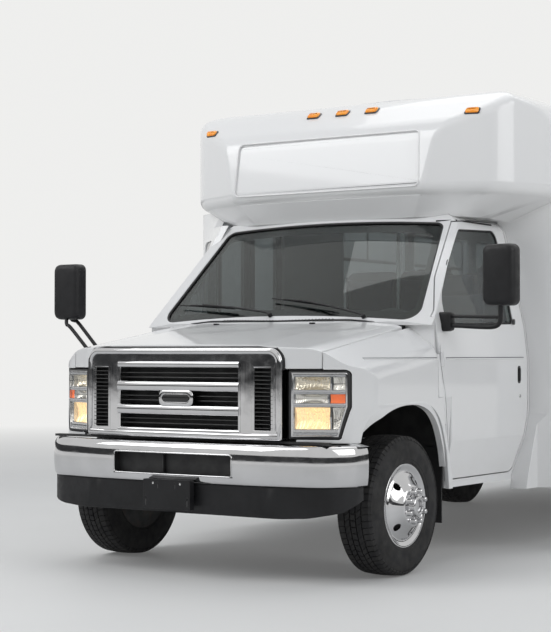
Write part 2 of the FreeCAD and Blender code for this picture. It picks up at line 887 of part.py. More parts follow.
def make_cap():
    rear = slab(-1500, 1500, S["pod_rear"], 2600, 0, roof_top + 400)
    pod = pod_solid(0).cut(pod_solid(S["pod_skin"])).cut(rear)
    # the soffit, wide open above the cab
    opening = slab(-HEADER_HALF, HEADER_HALF, WINDSCREEN_HEAD[0] + 80, 2000, 1900, 2300)
    soffit = soffit_solid(0).cut(soffit_solid(S["pod_skin"])).cut(cab_solid(-0.3, 300, -0.3, 1600))
    pod = pod.fuse(soffit).cut(opening).cut(rear)
    # the pod's bottom and the soffit end where the passenger space begins
    pod = pod.cut(slab(-half_body + S["wall"], -600, 1240, 2000, 1900, 2200))
    pod = pod.cut(slab(600, half_body - S["wall"], FLARE_FRONT + 45, 2000, 1900, 2200))
    # behind the driver's door the flare runs out to the full width and down to the skirt
    flare_side = [
        (FLARE_FRONT - 14, S["pod_bottom"] + 10),
        (FLARE_FRONT - 10, 1500, 900),
        (FLARE_FRONT, 830, 160),
        (1330, 470, 60),
        (1300, S["skirt_height"]),
        (S["pod_rear"], S["skirt_height"]),
        (S["pod_rear"], S["pod_bottom"] + 10),
    ]
    flare = prism_x(flare_side, 700, half_body)
    hollow = slab(600, half_body - S["wall"], FLARE_FRONT + 40, 2000, 0, 3000)
    flare = flare.cut(hollow).cut(cab_solid(-0.3, 300, -0.3, 1700)).cut(slab(0, 800, 0, 3000, 0, 1990))
    flare = flare.cut(slab(500, 900, 500, 3000, 0, 1000))
    far, near = half_body + 50, half_body - 170
    sweep = prism_z([(far, 1200), (far, FLARE_FRONT + 60), (near, FLARE_FRONT - 30), (near, 1200)], 0, 3000)
    flare = flare.cut(sweep)
    cap = pod.fuse(flare)
    entry_end = S["entry_start"] + S["entry_width"]
    cap = cap.cut(slab(-half_body - 60, -half_body + 140, S["entry_start"], entry_end, 0, entry_top))
    sign_low = S["pod_bottom"] + 0.0873 * (roof_top - S["pod_bottom"])
    sign_high = S["pod_bottom"] + 0.541 * (roof_top - S["pod_bottom"])
    recess = prism_y(
        [
            (-S["sign_half_width"], sign_low, 28),
            (S["sign_half_width"], sign_low, 28),
            (S["sign_half_width"] - 14, sign_high, 28),
            (-S["sign_half_width"] + 14, sign_high, 28),
        ],
        400,
        1200,
    )
    skin = pod_solid(-5).cut(pod_solid(S["sign_depth"]))
    cap = cap.cut(recess.common(skin).common(slab(-900, 900, 500, 900, 2000, 2600)))
    return cap.removeSplitter()


cap_shape = make_cap()
node("front_cap", cap_shape)


# Kerb-side panel: from the windscreen pillar out to the body's full width

KERB_SECTIONS = (
    # height, x and station of the front edge, station of the rear edge
    (S["sill_height"], 975.0, 505.0, 1215.0),
    (690.0, 1005.0, 505.0, 1215.0),
    (1145.0, 1005.0, 505.0, 1215.0),
    (1345.0, 985.0, 520.0, 1215.0),
    (S["pod_bottom"] + 6, 800.0, 915.0, 1215.0),
)


def kerb_band(height, x, station, rear, inset):
    """One level of the panel: outer front, outer rear, inner rear, inner front."""
    thick = S["cab_wall"]
    outer = half_body - inset
    return Part.makePolygon(
        [
            V(-x + inset, station + front_axle, height),
            V(-outer, rear + front_axle, height),
            V(-outer, S["entry_start"] - 14 + front_axle, height),
            V(-half_body + thick, S["entry_start"] - 14 + front_axle, height),
            V(-half_body + thick, rear + 12 + front_axle, height),
            V(-x + thick, station + 10 + front_axle, height),
            V(-x + inset, station + front_axle, height),
        ]
    )


kerb_panel = Part.makeLoft([kerb_band(*s, 0) for s in KERB_SECTIONS], True, True)
KERB_WINDOW = [(640, 1360, 50), (1150, 1360, 50), (1150, 1900, 50), (930, 1900, 60), (640, 1560, 200)]
kerb_window = prism_x(KERB_WINDOW, -half_body - 60, -700)
kerb_glass = kerb_panel.common(prism_x(grown(KERB_WINDOW, -S["seat_gap"]), -half_body - 60, -700))
kerb_glass = kerb_glass.cut(nodes["cab_shell"].Shape)
kerb_panel = kerb_panel.cut(kerb_window).cut(nodes["cab_shell"].Shape)
kerb_panel = kerb_panel.cut(nodes["fenders"].Shape).cut(cap_shape)
node("kerb_panel", largest(kerb_panel))

# Body: side walls, roof, rear wall and floor


def window_row(side):
    """The starts and ends of one side's windows, as stations."""
    first = 1700.0 if side > 0 else 2250.0
    width, gap = 980.0, 100.0
    count = 4 if side > 0 else 3
    start = 6060.0 - count * width - (count - 1) * gap
    return [(start + i * (width + gap), start + i * (width + gap) + width) for i in range(count)]


WALL_TOP = roof_top - 300
rear_station = body_end - front_axle


def window_outline(a0, a1, by=0.0):
    r = S["window_corner"]
    return grown(
        [
            (a0, S["window_bottom"], r),
            (a1, S["window_bottom"], r),
            (a1, window_top, r),
            (a0, window_top, r),
        ],
        by,
    )


def arch_outline(station):
    r = S["rear_arch_radius"]
    return [
        (station - r, 100),
        (station + r, 100),
        (station + r - 15, S["tyre_radius"] + r - 40, 190),
        (station - r + 15, S["tyre_radius"] + r - 40, 190),
    ]


def make_side_wall(side):
    outer = half_body
    x0, x1 = sorted((side * (outer - S["wall"]), side * outer))
    start = S["pod_rear"] if side > 0 else S["entry_start"] - 13.7
    wall = slab(x0, x1, start + 0.3, rear_station, S["skirt_height"], WALL_TOP)
    for a0, a1 in window_row(side):
        wall = wall.cut(prism_x(window_outline(a0, a1), x0 - 10, x1 + 10))
    wall = wall.cut(prism_x(arch_outline(S["wheelbase"]), x0 - 10, x1 + 10))
    if side < 0:
        a0 = S["entry_start"]
        wall = wall.cut(slab(x0 - 10, x1 + 10, a0, a0 + S["entry_width"], 0, entry_top))
        wall = wall.cut(cap_shape)
    return wall


for side, word in ((1, "left"), (-1, "right")):
    node(f"side_wall_{word}", make_side_wall(side))


def make_side_windows():
    panes = []
    for side in (1, -1):
        x0, x1 = sorted((side * (half_body - 22), side * (half_body - 8)))
        for a0, a1 in window_row(side):
            panes.append(prism_x(window_outline(a0, a1, -S["seat_gap"]), x0, x1))
    return panes


pane = Part.makeLoft([kerb_band(*s, 10) for s in KERB_SECTIONS], True, True)
kerb_pane = kerb_glass.common(pane).cut(
    Part.makeLoft([kerb_band(*s, 22) for s in KERB_SECTIONS], True, True)
)


def make_roof():
    outer = prism_y(mirrored(body_section(0)), S["pod_rear"] + 0.3, rear_station)
    inner = prism_y(mirrored(body_section(S["wall"])), S["pod_rear"] - 10, rear_station + 10)
    return outer.cut(inner).common(slab(-1500, 1500, 0, 7000, WALL_TOP + S["seat_gap"], roof_top + 200))


node("roof", make_roof())


def make_rear_wall():
    section = mirrored(body_section(S["wall"] + S["seat_gap"]))
    wall = prism_y(section, rear_station - S["wall"] - 6, rear_station - 6)
    half = S["rear_door_width"] / 2
    g = S["door_gap"]
    wall = wall.cut(slab(-1500, 1500, 0, 9000, 0, 460))
    wall = wall.cut(slab(-half - g, half + g, 0, 9000, S["rear_door_bottom"] - g, rear_door_top + g))
    for side in (-1, 1):
        # the frame rail passes through below the door
        x0, x1 = sorted((side * (S["rail_half"] - S["rail_width"] - g), side * (S["rail_half"] + g)))
        wall = wall.cut(slab(x0, x1, 0, 9000, S["rail_bottom"] - g, S["rear_door_bottom"] - g + 0.5))
        wall = wall.cut(rear_pane(side, 0, 0, 9000))
    return wall


def rear_pane(side, by, a0, a1):
    x0, x1 = sorted((side * (S["rear_door_width"] / 2 + 150), side * (half_body - 180)))
    top = roof_top - 720
    corners = grown([(x0, 1400, 60), (x1, 1400, 60), (x1, top, 60), (x0, top, 60)], by)
    return prism_y(corners, a0, a1)


node("rear_wall", make_rear_wall())
pane_start, pane_end = rear_station - 30, rear_station - 16
rear_panes = [rear_pane(side, -S["seat_gap"], pane_start, pane_end) for side in (-1, 1)]
node("body_windows", Part.makeCompound([*make_side_windows(), *kerb_pane.Solids, *rear_panes]))


def make_rear_door():
    half = S["rear_door_width"] / 2
    low, high = S["rear_door_bottom"], rear_door_top
    g_hinge = S["door_gap"] - S["seat_gap"]
    panel = [(-half, low, 25), (half, low, 25), (half, high, 60), (-half, high, 60)]
    leaf = prism_y(panel, rear_station - S["wall"] - 6, rear_station - 6)
    view = rounded_box(-half + 110, half - 110, 1400, high - 180, 50)
    leaf = leaf.cut(prism_y(view, 0, 9000))
    pane = prism_y(grown(view, -S["seat_gap"]), pane_start, pane_end)
    lever = prism_y(rounded_box(half - 180, half - 50, 1150, 1184, 12), rear_station - 6.3, rear_station + 22)
    for height in (low + 200, (low + high) / 2 - 60, high - 320):
        foot = V(-half, rear_station - 6 + front_axle, height)
        leaf = leaf.fuse(Part.makeCylinder(g_hinge, 120, foot))
    return leaf.fuse(lever), pane


rear_leaf, rear_leaf_pane = make_rear_door()
node("rear_door", rear_leaf)
node("rear_door_glass", rear_leaf_pane)


def make_floor():
    low, top = S["floor_top"] - S["floor_plate"], S["floor_top"]
    edge = half_body - S["wall"] - S["seat_gap"]
    plate = slab(-edge, edge, S["cab_rear"] + 5, rear_station - S["wall"] - 6.3, low, top)
    plate = plate.cut(slab(-1500, -half_body + 540, 0, S["entry_start"] + S["entry_width"] + 26.3, 0, 900))
    plate = plate.cut(slab(899.7, 1500, 0, FLARE_FRONT + 40.3, 0, 900))
    reach = S["rear_arch_radius"] + 25
    mid = S["wheelbase"]
    for side in (-1, 1):
        x0, x1 = sorted((side * (rear_track - 260), side * 1500))
        plate = plate.cut(slab(x0, x1, mid - reach, mid + reach, 0, 900))
        b0, b1 = sorted((side * (rear_track - 285), side * edge))
        house = slab(b0, b1, mid - reach - 25, mid + reach + 25, low, 905)
        i0, i1 = sorted((side * (rear_track - 260), side * 1500))
        house = house.cut(slab(i0, i1, mid - reach, mid + reach, 0, 880))
        plate = plate.fuse(house)
    # cross bearers under the floor, resting on the rails
    top_of_rails = S["rail_bottom"] + S["rail_height"] + S["seat_gap"]
    for station in (1560, 2180, 2750, 3350, 4640, 5300, 6060):
        # beside the stair well the bearer stops short
        x0 = -half_body + 550 if station < S["entry_start"] + S["entry_width"] else -edge
        plate = plate.fuse(slab(x0, edge, station, station + 50, top_of_rails, low))
    return plate.removeSplitter()


node("floor", make_floor())


def make_steps():
    """The stair well inside the entry: two treads under the door sill line and a riser to the floor."""
    outer_x = -half_body + S["wall"] + 2
    a0 = S["entry_start"] - 8
    a1 = S["entry_start"] + S["entry_width"] + 8
    t = 22
    tread, riser = -half_body + 300, -half_body + 540 - S["seat_gap"]
    stair = [
        (outer_x, 390),
        (tread, 390),
        (tread, 565),
        (riser, 565),
        (riser, S["floor_top"]),
        (riser - t, S["floor_top"]),
        (riser - t, 565 + t),
        (tread - t, 565 + t),
        (tread - t, 390 + t),
        (outer_x, 390 + t),
    ]
    run = prism_y(stair, a0, a1)
    cheek = [*stair[:5], (outer_x, S["floor_top"])]
    front = prism_y(cheek, a0 - 18, a0)
    back = prism_y(cheek, a1, a1 + 18)
    return fused(run, front, back)


node("entry_steps", make_steps())


def make_entry():
    """Two glazed leaves that swing outwards, each on its own edge."""
    a0 = S["entry_start"]
    width = (S["entry_width"] - S["meeting_gap"] - 2 * S["door_gap"]) / 2
    starts = (a0 + S["door_gap"], a0 + S["entry_width"] - S["door_gap"] - width)
    x0 = -half_body - 2
    for start, word in zip(starts, ("front", "rear")):
        low, high = S["entry_bottom"], entry_top - S["door_gap"]
        frame = rounded_box(start, start + width, low, high, 12)
        views = [
            rounded_box(start + 55, start + width - 55, bottom, top, 40)
            for bottom, top in ((520, 1270), (1330, high - 84))
        ]
        leaf = prism_x(frame, x0, x0 + S["entry_leaf"])
        panes = []
        for view in views:
            leaf = leaf.cut(prism_x(view, x0 - 10, x0 + 100))
            panes.append(prism_x(grown(view, -S["seat_gap"]), x0 + 12, x0 + 20))
        edge = start if word == "front" else start + width
        foot = V(x0, edge + front_axle, low + 20)
        barrel = Part.makeCylinder(S["door_gap"] - S["seat_gap"], high - low - 40, foot)
        leaf = leaf.fuse(barrel).removeSplitter()
        node(f"entry_leaf_{word}", leaf)
        node(f"entry_glass_{word}", Part.makeCompound(panes))


make_entry()

# Lamps at the roof line and the tail


def lens(x, a, z, wide, high, deep):
    """A small lamp with rounded ends on a flat back."""
    shape = rounded_box(x - wide / 2, x + wide / 2, z - high / 2, z + high / 2, 10)
    return prism_y(shape, a, a + deep)


def make_marker_lamps():
    """Five amber lamps over the windscreen and five red ones over the rear door."""
    on_cap = pod_solid(-S["lamp_height"]).cut(pod_solid(-S["seat_gap"]))
    lamps = []
    # x and drop below the roof's top, in front and behind
    for x, front_drop, rear_drop in (
        (-half_body + 310, 224, 210),
        (-208, 156, 160),
        (0, 156, 160),
        (208, 156, 160),
        (half_body - 310, 224, 210),
    ):
        lamps.append(largest(lens(x, S["pod_front"] - 40, roof_top - front_drop, 84, 30, 500).common(on_cap)))
        lamps.append(lens(x, rear_station - 5.7, roof_top - rear_drop, 96, 34, 20))
    return Part.makeCompound(lamps)


node("marker_lamps", make_marker_lamps())


def make_tail_lamps():
    lamps = []
    for side in (-1, 1):
        for z, high in ((900, 110), (1040, 110), (1180, 110)):
            lamps.append(lens(side * (half_body - 240), rear_station - 5.7, z, 170, high, 24))
    return Part.makeCompound(lamps)


node("tail_lamps", make_tail_lamps())
rear_bar = body("rear_bumper")
bar_profile = sketch(
    rear_bar,
    "XZ_Plane",
    [
        ("-body_width / 2 + 40", "0"),
        ("body_width / 2 - 40", "0"),
        ("body_width / 2 - 40", "bumper_rear_height"),
        ("-body_width / 2 + 40", "bumper_rear_height"),
    ],
)
pad(rear_bar, bar_profile, "bumper_rear_depth")
place(rear_bar, "0", REAR_AXLE + " + rear_overhang", "bumper_rear_bottom")
node("rear_bumper", rear_bar)

# Chassis: rails, crossmembers, axles, springs, engine, tank and exhaust

CROSS_STATIONS = (-560, 620, 1500, 2600, 3300, 4700, 5740)


def make_rails():
    rails = []
    for side in ("left", "right"):
        item = body("rail_" + side)
        sign = "1" if side == "left" else "-1"
        profile = sketch(
            item,
            "XZ_Plane",
            [
                (f"{sign} * rail_half", "0"),
                (f"{sign} * rail_half", "rail_height"),
                (f"{sign} * (rail_half - rail_width)", "rail_height"),
                (f"{sign} * (rail_half - rail_width)", "0"),
            ],
        )
        ends = "rear_overhang - bumper_rear_depth + front_overhang - bumper_depth - 13"
        pad(item, profile, "wheelbase + " + ends)
        place(item, "0", REAR_AXLE + " + rear_overhang - bumper_rear_depth - seat_gap", "rail_bottom")
        rails.append(item)
    return rails


rails = make_rails()
crossings = [
    box(
        f"cross_{i}",
        "2 * (rail_half - rail_width) - 2 * seat_gap",
        "cross_length",
        "cross_height",
        "-(rail_half - rail_width) + seat_gap",
        f"{FRONT_AXLE} + {station}",
        "rail_bottom + 30",
    )
    for i, station in enumerate(CROSS_STATIONS)
]
node("chassis_frame", grouped("chassis_members", [*rails, *crossings]))
engine = box(
    "engine_block",
    "2 * (rail_half - rail_width) - 2 * seat_gap",
    "engine_length",
    "engine_height",
    "-(rail_half - rail_width) + seat_gap",
    FRONT_AXLE + " - 400",
    "engine_bottom",
)
node("engine", engine)
tank = box(
    "tank_block",
    "tank_width",
    "5740 - 4780 - 2 * seat_gap",
    "tank_height",
    "-tank_width / 2 + 100",
    FRONT_AXLE + " + 4780 + seat_gap",
    "rail_bottom - 100",
)
doc.recompute()
tank_rounded = doc.addObject("Part::Fillet", "tank_rounded")
tank_rounded.Base = tank
tank_edges = [i for i, e in enumerate(tank.Shape.Edges, 1) if e.BoundBox.YLength > 500]
tank_rounded.Edges = [(i, S["tank_corner"], S["tank_corner"]) for i in tank_edges]
node("fuel_tank", tank_rounded)

pipe_start = FRONT_AXLE + " + 250 + seat_gap"
pipe = rod("exhaust_pipe", "pipe_radius", "5600 - 250", "-300", pipe_start, "pipe_height", "Y")
can_start = FRONT_AXLE + " + 1750"
silencer = rod("silencer", "silencer_radius", "silencer_length", "-262", can_start, "pipe_height - 20", "Y")
hanger_height = "rail_bottom + 30 - seat_gap - pipe_height"
hangers = [
    box(f"hanger_{i}", "30", "20", hanger_height, "-315", f"{FRONT_AXLE} + {station + 30}", "pipe_height")
    for i, station in enumerate(CROSS_STATIONS[1:6])
]
node("exhaust", joined("exhaust_run", [pipe, silencer, *hangers]))

# Front axle beam with an eye at each end for the kingpin
beam = box(
    "beam_bar",
    "2 * kingpin_half",
    "beam_width",
    "beam_depth",
    "-kingpin_half",
    FRONT_AXLE + " - beam_width / 2",
    "tyre_radius - beam_depth / 2",
)
beam_low = "tyre_radius - beam_depth / 2"
eyes = [
    rod(f"eye_{i}", "eye_radius", "beam_depth", f"{s} * kingpin_half", FRONT_AXLE, beam_low)
    for i, s in enumerate((-1, 1))
]
coils = [
    rod(
        f"coil_{i}",
        "coil_radius",
        "rail_bottom - seat_gap - tyre_radius - beam_depth / 2",
        f"{s} * (rail_half - rail_width / 2)",
        FRONT_AXLE,
        "tyre_radius + beam_depth / 2",
    )
    for i, s in enumerate((-1, 1))
]
bore = "pin_radius + pin_clearance"
bores = [
    rod(f"eye_bore_{i}", bore, "300", f"{s} * kingpin_half", FRONT_AXLE, "tyre_radius - 150")
    for i, s in enumerate((-1, 1))
]
beam_solid = joined("beam_solid", [beam, *eyes, *coils])
# the beam's square ends are rounded to the eye
end_cuts = [
    box(
        f"beam_end_{i}",
        "60",
        "200",
        "300",
        f"{s} * kingpin_half - (1 - {s}) * 30",
        FRONT_AXLE + " - 100",
        "tyre_radius - 150",
    )
    for i, s in enumerate((-1, 1))
]
eye_keeps = [
    rod(f"eye_keep_{i}", "eye_radius", "beam_depth", f"{s} * kingpin_half", FRONT_AXLE, beam_low)
    for i, s in enumerate((-1, 1))
]
end_trim = cut("beam_end_trim", joined("beam_ends", end_cuts), joined("eye_keep", eye_keeps))
beam_trimmed = cut("beam_trimmed", beam_solid, end_trim)
node("front_axle", cut("front_axle_made", beam_trimmed, joined("eye_bores", bores)))


def make_knuckle(sign, word):
    """Kingpin, fork plates above and below the beam's eye, and the wheel's spindle."""
    s = str(sign)
    z_low = "(tyre_radius - beam_depth / 2 - fork_plate - 0.5)"
    z_high = "(tyre_radius + beam_depth / 2 + 0.5)"
    x_in = f"({s} * kingpin_half - (1 - {s}) / 2 * 86)"
    plates = [
        box(f"fork_{word}_{i}", "86", "2 * eye_radius", "fork_plate", x_in, FRONT_AXLE + " - eye_radius", z)
        for i, z in enumerate((z_low, z_high))
    ]
    caps = [
        rod(f"fork_cap_{word}_{i}", "eye_radius", "fork_plate", f"{s} * kingpin_half", FRONT_AXLE, z)
        for i, z in enumerate((z_low, z_high))
    ]
    tall = "beam_depth + 2 * fork_plate + 1"
    pin = rod(f"kingpin_{word}", "pin_radius", tall, f"{s} * kingpin_half", FRONT_AXLE, z_low)
    x_up = f"({s} * (kingpin_half + 46) - (1 - {s}) / 2 * 34)"
    upright = box(f"upright_{word}", "34", "2 * eye_radius", tall, x_up, FRONT_AXLE + " - eye_radius", z_low)
    x_spindle = f"({s} * (kingpin_half + 60) - (1 - {s}) / 2 * 150)"
    spindle = rod(f"spindle_{word}", "spindle_radius", "150", x_spindle, FRONT_AXLE, "tyre_radius", "X")
    return joined(f"knuckle_made_{word}", [*plates, *caps, pin, upright, spindle])


for sign, word in ((1, "left"), (-1, "right")):
    node(f"knuckle_{word}", make_knuckle(sign, word))

# Rear axle: tube, differential and leaf springs
tube_half, stub_half = f"({REAR_TRACK} - 260)", f"({REAR_TRACK} + 140)"
axle_parts = [
    rod(name, radius, "2 * " + half, "-1 * " + half, REAR_AXLE, "tyre_radius", "X")
    for name, radius, half in (
        ("axle_tube", "axle_tube_radius", tube_half),
        ("axle_stubs", "rear_spindle_radius", stub_half),
    )
]
differential = doc.addObject("Part::Sphere", "differential")
bind(differential, "Radius", "differential_radius")
place(differential, "0", REAR_AXLE, "tyre_radius", FreeCAD.Rotation(V(0, 0, 1), 50))
node("rear_axle", joined("rear_axle_made", [*axle_parts, differential]))


def make_leaf_springs():
    springs = []
    half = S["leaf_length"] / 2
    low = S["tyre_radius"] + S["axle_tube_radius"] + S["seat_gap"]
    eye = S["rail_bottom"] - S["seat_gap"]
    t = S["leaf_thickness"]
    for side in (-1, 1):
        x0 = side * (S["rail_half"] - S["rail_width"] / 2) - S["leaf_width"] / 2
        mid = S["wheelbase"]
        leaf = [
            (mid - half, eye - 22),
            (mid - 200, low, 900),
            (mid + 200, low, 900),
            (mid + half, eye - 22),
            (mid + half, eye),
            (mid + half - 60, eye),
            (mid + 220, low + t, 700),
            (mid - 220, low + t, 700),
            (mid - half + 60, eye),
            (mid - half, eye),
        ]
        springs.append(prism_x(leaf, x0, x0 + S["leaf_width"]))
    return Part.makeCompound(springs)


node("leaf_springs", make_leaf_springs())


def make_wheelhouses():
    """The liners over the front wheels."""
    parts = []
    top, t = S["wheelhouse_top"], S["liner"]
    inside_fenders = nose_solid(S["skin"] + S["seat_gap"])
    outer_x = S["cab_half_width"] - S["skin"] - S["seat_gap"]
    for side in (-1, 1):
        x0, x1 = sorted((side * 470, side * outer_x))
        roof_part = slab(x0, x1, -400, 481.7, top - t, top)
        y0, y1 = sorted((side * 470, side * 490))
        inner = slab(y0, y1, -400, 481.7, 700, top)
        w0, w1 = sorted((side * 470, side * (outer_x - 30)))
        rear = slab(w0, w1, 464, 481.7, S["sill_height"], top)
        parts.append(fused(roof_part, inner, rear).common(inside_fenders))
    return Part.makeCompound(parts)


node("wheelhouses", make_wheelhouses())
flaps = []
for side in (-1, 1):
    x0, x1 = sorted((side * 815, side * 955))
    flaps.append(slab(x0, x1, 455, 463.7, 240, 660))
    r0, r1 = sorted((side * (rear_track - 230), side * (half_body - 55)))
    back = S["wheelbase"] + S["rear_arch_radius"] + 25 - 10 - S["seat_gap"]
    flaps.append(slab(r0, r1, back, back + 10, 240, S["floor_top"] - S["floor_plate"] + 60))
node("mud_flaps", Part.makeCompound(flaps))

# Wheels


def make_tyre(name, x, y):
    item = body(name)
    half = "tyre_width / 2"
    profile = sketch(
        item,
        "XZ_Plane",
        [
            (f"-({half}) + 26", "bead_radius"),
            (f"{half} - 26", "bead_radius"),
            (f"{half} - 26", "bead_radius + 20"),
            (f"{half} - 4", "bead_radius + 52"),
            (half, "bead_radius + 82"),
            (f"{half} - 5", "tyre_radius - 34"),
            (f"{half} - 19", "tyre_radius - 6"),
            (f"{half} - 40", "tyre_radius"),
            (f"-({half}) + 40", "tyre_radius"),
            (f"-({half}) + 19", "tyre_radius - 6"),
            (f"-({half}) + 5", "tyre_radius - 34"),
            (f"-({half})", "bead_radius + 82"),
            (f"-({half}) + 4", "bead_radius + 52"),
            (f"-({half}) + 26", "bead_radius + 20"),
        ],
    )
    revolved(item, profile)
    return place(item, x, y, "tyre_radius")


def make_front_wheel(sign, word):
    item = body("rim_front_" + word)
    s = "" if sign > 0 else "-1 * "
    points = [
        ("-98", "bead_radius - 20"),
        ("-98", "bead_radius + 16"),
        ("-86", "bead_radius + 16"),
        ("-86", "bead_radius - seat_gap"),
        ("86", "bead_radius - seat_gap"),
        ("86", "bead_radius + 16"),
        ("98", "bead_radius + 16"),
        ("102", "bead_radius - 4"),
        ("90", "bead_radius - 30"),
        ("98", "150"),
        ("146", "112"),
        ("158", "100"),
        ("160", "54"),
        ("188", "46"),
        ("190", "0"),
        ("120", "0"),
        ("120", "spindle_radius + pin_clearance"),
        ("0", "spindle_radius + pin_clearance"),
        ("0", "hub_radius - 10"),
        ("96", "hub_radius - 10"),
        ("60", "bead_radius - 40"),
        ("-60", "bead_radius - 24"),
    ]
    profile = sketch(item, "XZ_Plane", [(s + "(" + u + ")", v) for u, v in points])
    revolved(item, profile)
    place(item, f"{sign} * {FRONT_TRACK}", FRONT_AXLE, "tyre_radius")
    face = sign * (front_track + 160)
    nuts = []
    centre = V(face - sign * 6, front_axle, S["tyre_radius"])
    for i in range(8):
        turn = math.radians(22.5 + 45 * i)
        spot = centre + V(0, math.cos(turn), math.sin(turn)) * (S["nut_circle"] / 2)
        nuts.append(Part.makeCylinder(S["nut_radius"], 34, spot, V(sign, 0, 0)))
    nut_ring = doc.addObject("Part::Feature", f"nuts_{word}")
    nut_ring.Shape = nuts[0].multiFuse(nuts[1:])
    holes = []
    for i in range(4):
        turn = math.radians(45 + 90 * i)
        spot = V(sign * (front_track + 40), front_axle, S["tyre_radius"])
        spot += V(0, math.cos(turn), math.sin(turn)) * 152
        holes.append(Part.makeCylinder(S["hand_hole_radius"], 120, spot, V(sign, 0, 0)))
    drilled = doc.addObject("Part::Feature", f"hand_holes_{word}")
    drilled.Shape = holes[0].multiFuse(holes[1:])
    return joined(f"wheel_made_{word}", [cut(f"wheel_drilled_{word}", item, drilled), nut_ring])


def make_rear_wheels(sign, word):
    """Both rims of a twin wheel with the hub between, as one piece."""
    item = body("rims_rear_" + word)
    s = "" if sign > 0 else "-1 * "
    gap = "twin_spacing / 2"
    points = [
        (f"-({gap}) - 98", "bead_radius - 22"),
        (f"-({gap}) - 98", "bead_radius + 16"),
        (f"-({gap}) - 86", "bead_radius + 16"),
        (f"-({gap}) - 86", "bead_radius - seat_gap"),
        (f"-({gap}) + 86", "bead_radius - seat_gap"),
        (f"-({gap}) + 86", "bead_radius - 26"),
        ("-6", "150"),
        ("6", "150"),
        (f"{gap} - 86", "bead_radius - 26"),
        (f"{gap} - 86", "bead_radius - seat_gap"),
        (f"{gap} + 86", "bead_radius - seat_gap"),
        (f"{gap} + 86", "bead_radius + 16"),
        (f"{gap} + 98", "bead_radius + 16"),
        (f"{gap} + 102", "bead_radius - 4"),
        (f"{gap} + 84", "bead_radius - 30"),
        (f"{gap} - 60", "bead_radius - 44"),
        ("40", "130"),
        ("36", "hub_radius + 10"),
        ("40", "62"),
        ("160", "56"),
        ("164", "0"),
        ("141", "0"),
        ("141", "rear_spindle_radius + pin_clearance"),
        (f"-({gap}) - 60", "rear_spindle_radius + pin_clearance"),
        (f"-({gap}) - 60", "hub_radius - 10"),
        ("-12", "hub_radius - 10"),
        (f"-({gap}) - 30", "bead_radius - 48"),
    ]
    profile = sketch(item, "XZ_Plane", [(s + "(" + u + ")", v) for u, v in points])
    revolved(item, profile)
    place(item, f"{sign} * {REAR_TRACK}", REAR_AXLE, "tyre_radius")
    nuts = []
    for i in range(8):
        turn = math.radians(22.5 + 45 * i)
        spot = V(sign * (rear_track + 30), rear_axle, S["tyre_radius"])
        spot += V(0, math.cos(turn), math.sin(turn)) * (S["nut_circle"] / 2)
        nuts.append(Part.makeCylinder(S["nut_radius"], 36, spot, V(sign, 0, 0)))
    nut_ring = doc.addObject("Part::Feature", f"rear_nuts_{word}")
    nut_ring.Shape = nuts[0].multiFuse(nuts[1:])
    return joined(f"rear_wheel_made_{word}", [item, nut_ring])


for sign, word in ((1, "left"), (-1, "right")):
    node(f"tyre_front_{word}", make_tyre(f"tyre_front_{word}", f"{sign} * {FRONT_TRACK}", FRONT_AXLE))
    node(f"wheel_front_{word}", make_front_wheel(sign, word))
    outer = make_tyre(f"tyre_outer_{word}", f"{sign} * ({REAR_TRACK} + twin_spacing / 2)", REAR_AXLE)
    inner = make_tyre(f"tyre_inner_{word}", f"{sign} * ({REAR_TRACK} - twin_spacing / 2)", REAR_AXLE)
    node(f"tyres_rear_{word}", grouped(f"tyres_rear_{word}", [outer, inner]))
    node(f"wheels_rear_{word}", make_rear_wheels(sign, word))

# Mirrors, wipers, dashboard, steering wheel and seats


def tube_run(points, radius):
    """A round bar along straight runs, with a ball at each bend."""
    bar = None
    for start, end in zip(points, points[1:]):
        run = Part.makeCylinder(radius, (end - start).Length, start, end - start)
        bar = run if bar is None else bar.fuse(run)
    for bend in points[1:-1]:
        bar = bar.fuse(Part.makeSphere(radius, bend))
    return bar


def mirror_head(sign, station, middle):
    half_w, half_h = S["mirror_width"] / 2, S["mirror_height"] / 2
    x = sign * S["mirror_half_reach"]
    face = rounded_box(x - half_w, x + half_w, middle - half_h, middle + half_h, 34)
    head = prism_y(face, station - S["mirror_depth"] / 2, station + S["mirror_depth"] / 2)
    middle_y = station + front_axle
    front = [e for e in head.Edges if e.BoundBox.YLength < 1 and e.BoundBox.Center.y < middle_y - 20]
    return head.makeFillet(30, front)


def make_driver_mirror():
    station, middle = 434.0, 1602.0
    x = S["mirror_half_reach"]
    head = mirror_head(1, station, middle)
    foot_x = S["cab_half_width"] - 20
    y = station + front_axle
    low = middle - S["mirror_height"] / 2
    base = prism_x(rounded_box(405, 470, 1300, 1400, 10), foot_x - 40, foot_x + 60)
    base = base.cut(prism_y(mirrored(cab_section(-S["seat_gap"])), 0, 2000))
    arm = tube_run([V(foot_x + 40, y, 1330), V(x - 30, y, 1318), V(x, y, 1345), V(x, y, low + 20)], 13)
    upper = tube_run([V(foot_x + 40, y, 1380), V(x - 10, y, 1372)], 9)
    return head.fuse(arm).fuse(base).fuse(upper).removeSplitter()


def make_kerb_mirror():
    """The kerb-side mirror stands on the fender, on two bars that reach up and out."""
    station, middle = -30.0, 1548.0
    x = -S["mirror_half_reach"]
    head = mirror_head(-1, station, middle)
    y = station + front_axle
    low = middle - S["mirror_height"] / 2
    reach = S["cab_half_width"]
    base = slab(-reach - 22, -reach - S["seat_gap"], station - 60, station + 60, 1030, 1110)
    top = V(x, y, low + 15)
    bars = [
        tube_run([V(-reach - 12, y + d, 1060 + lift), V(x + 20, y + d, low - 40 + lift), top], 11)
        for d, lift in ((-35, 0), (35, 30))
    ]
    made = head.fuse(bars[0]).fuse(bars[1]).fuse(base)
    return made.removeSplitter()


node("driver_mirror", make_driver_mirror())
node("kerb_mirror", make_kerb_mirror())


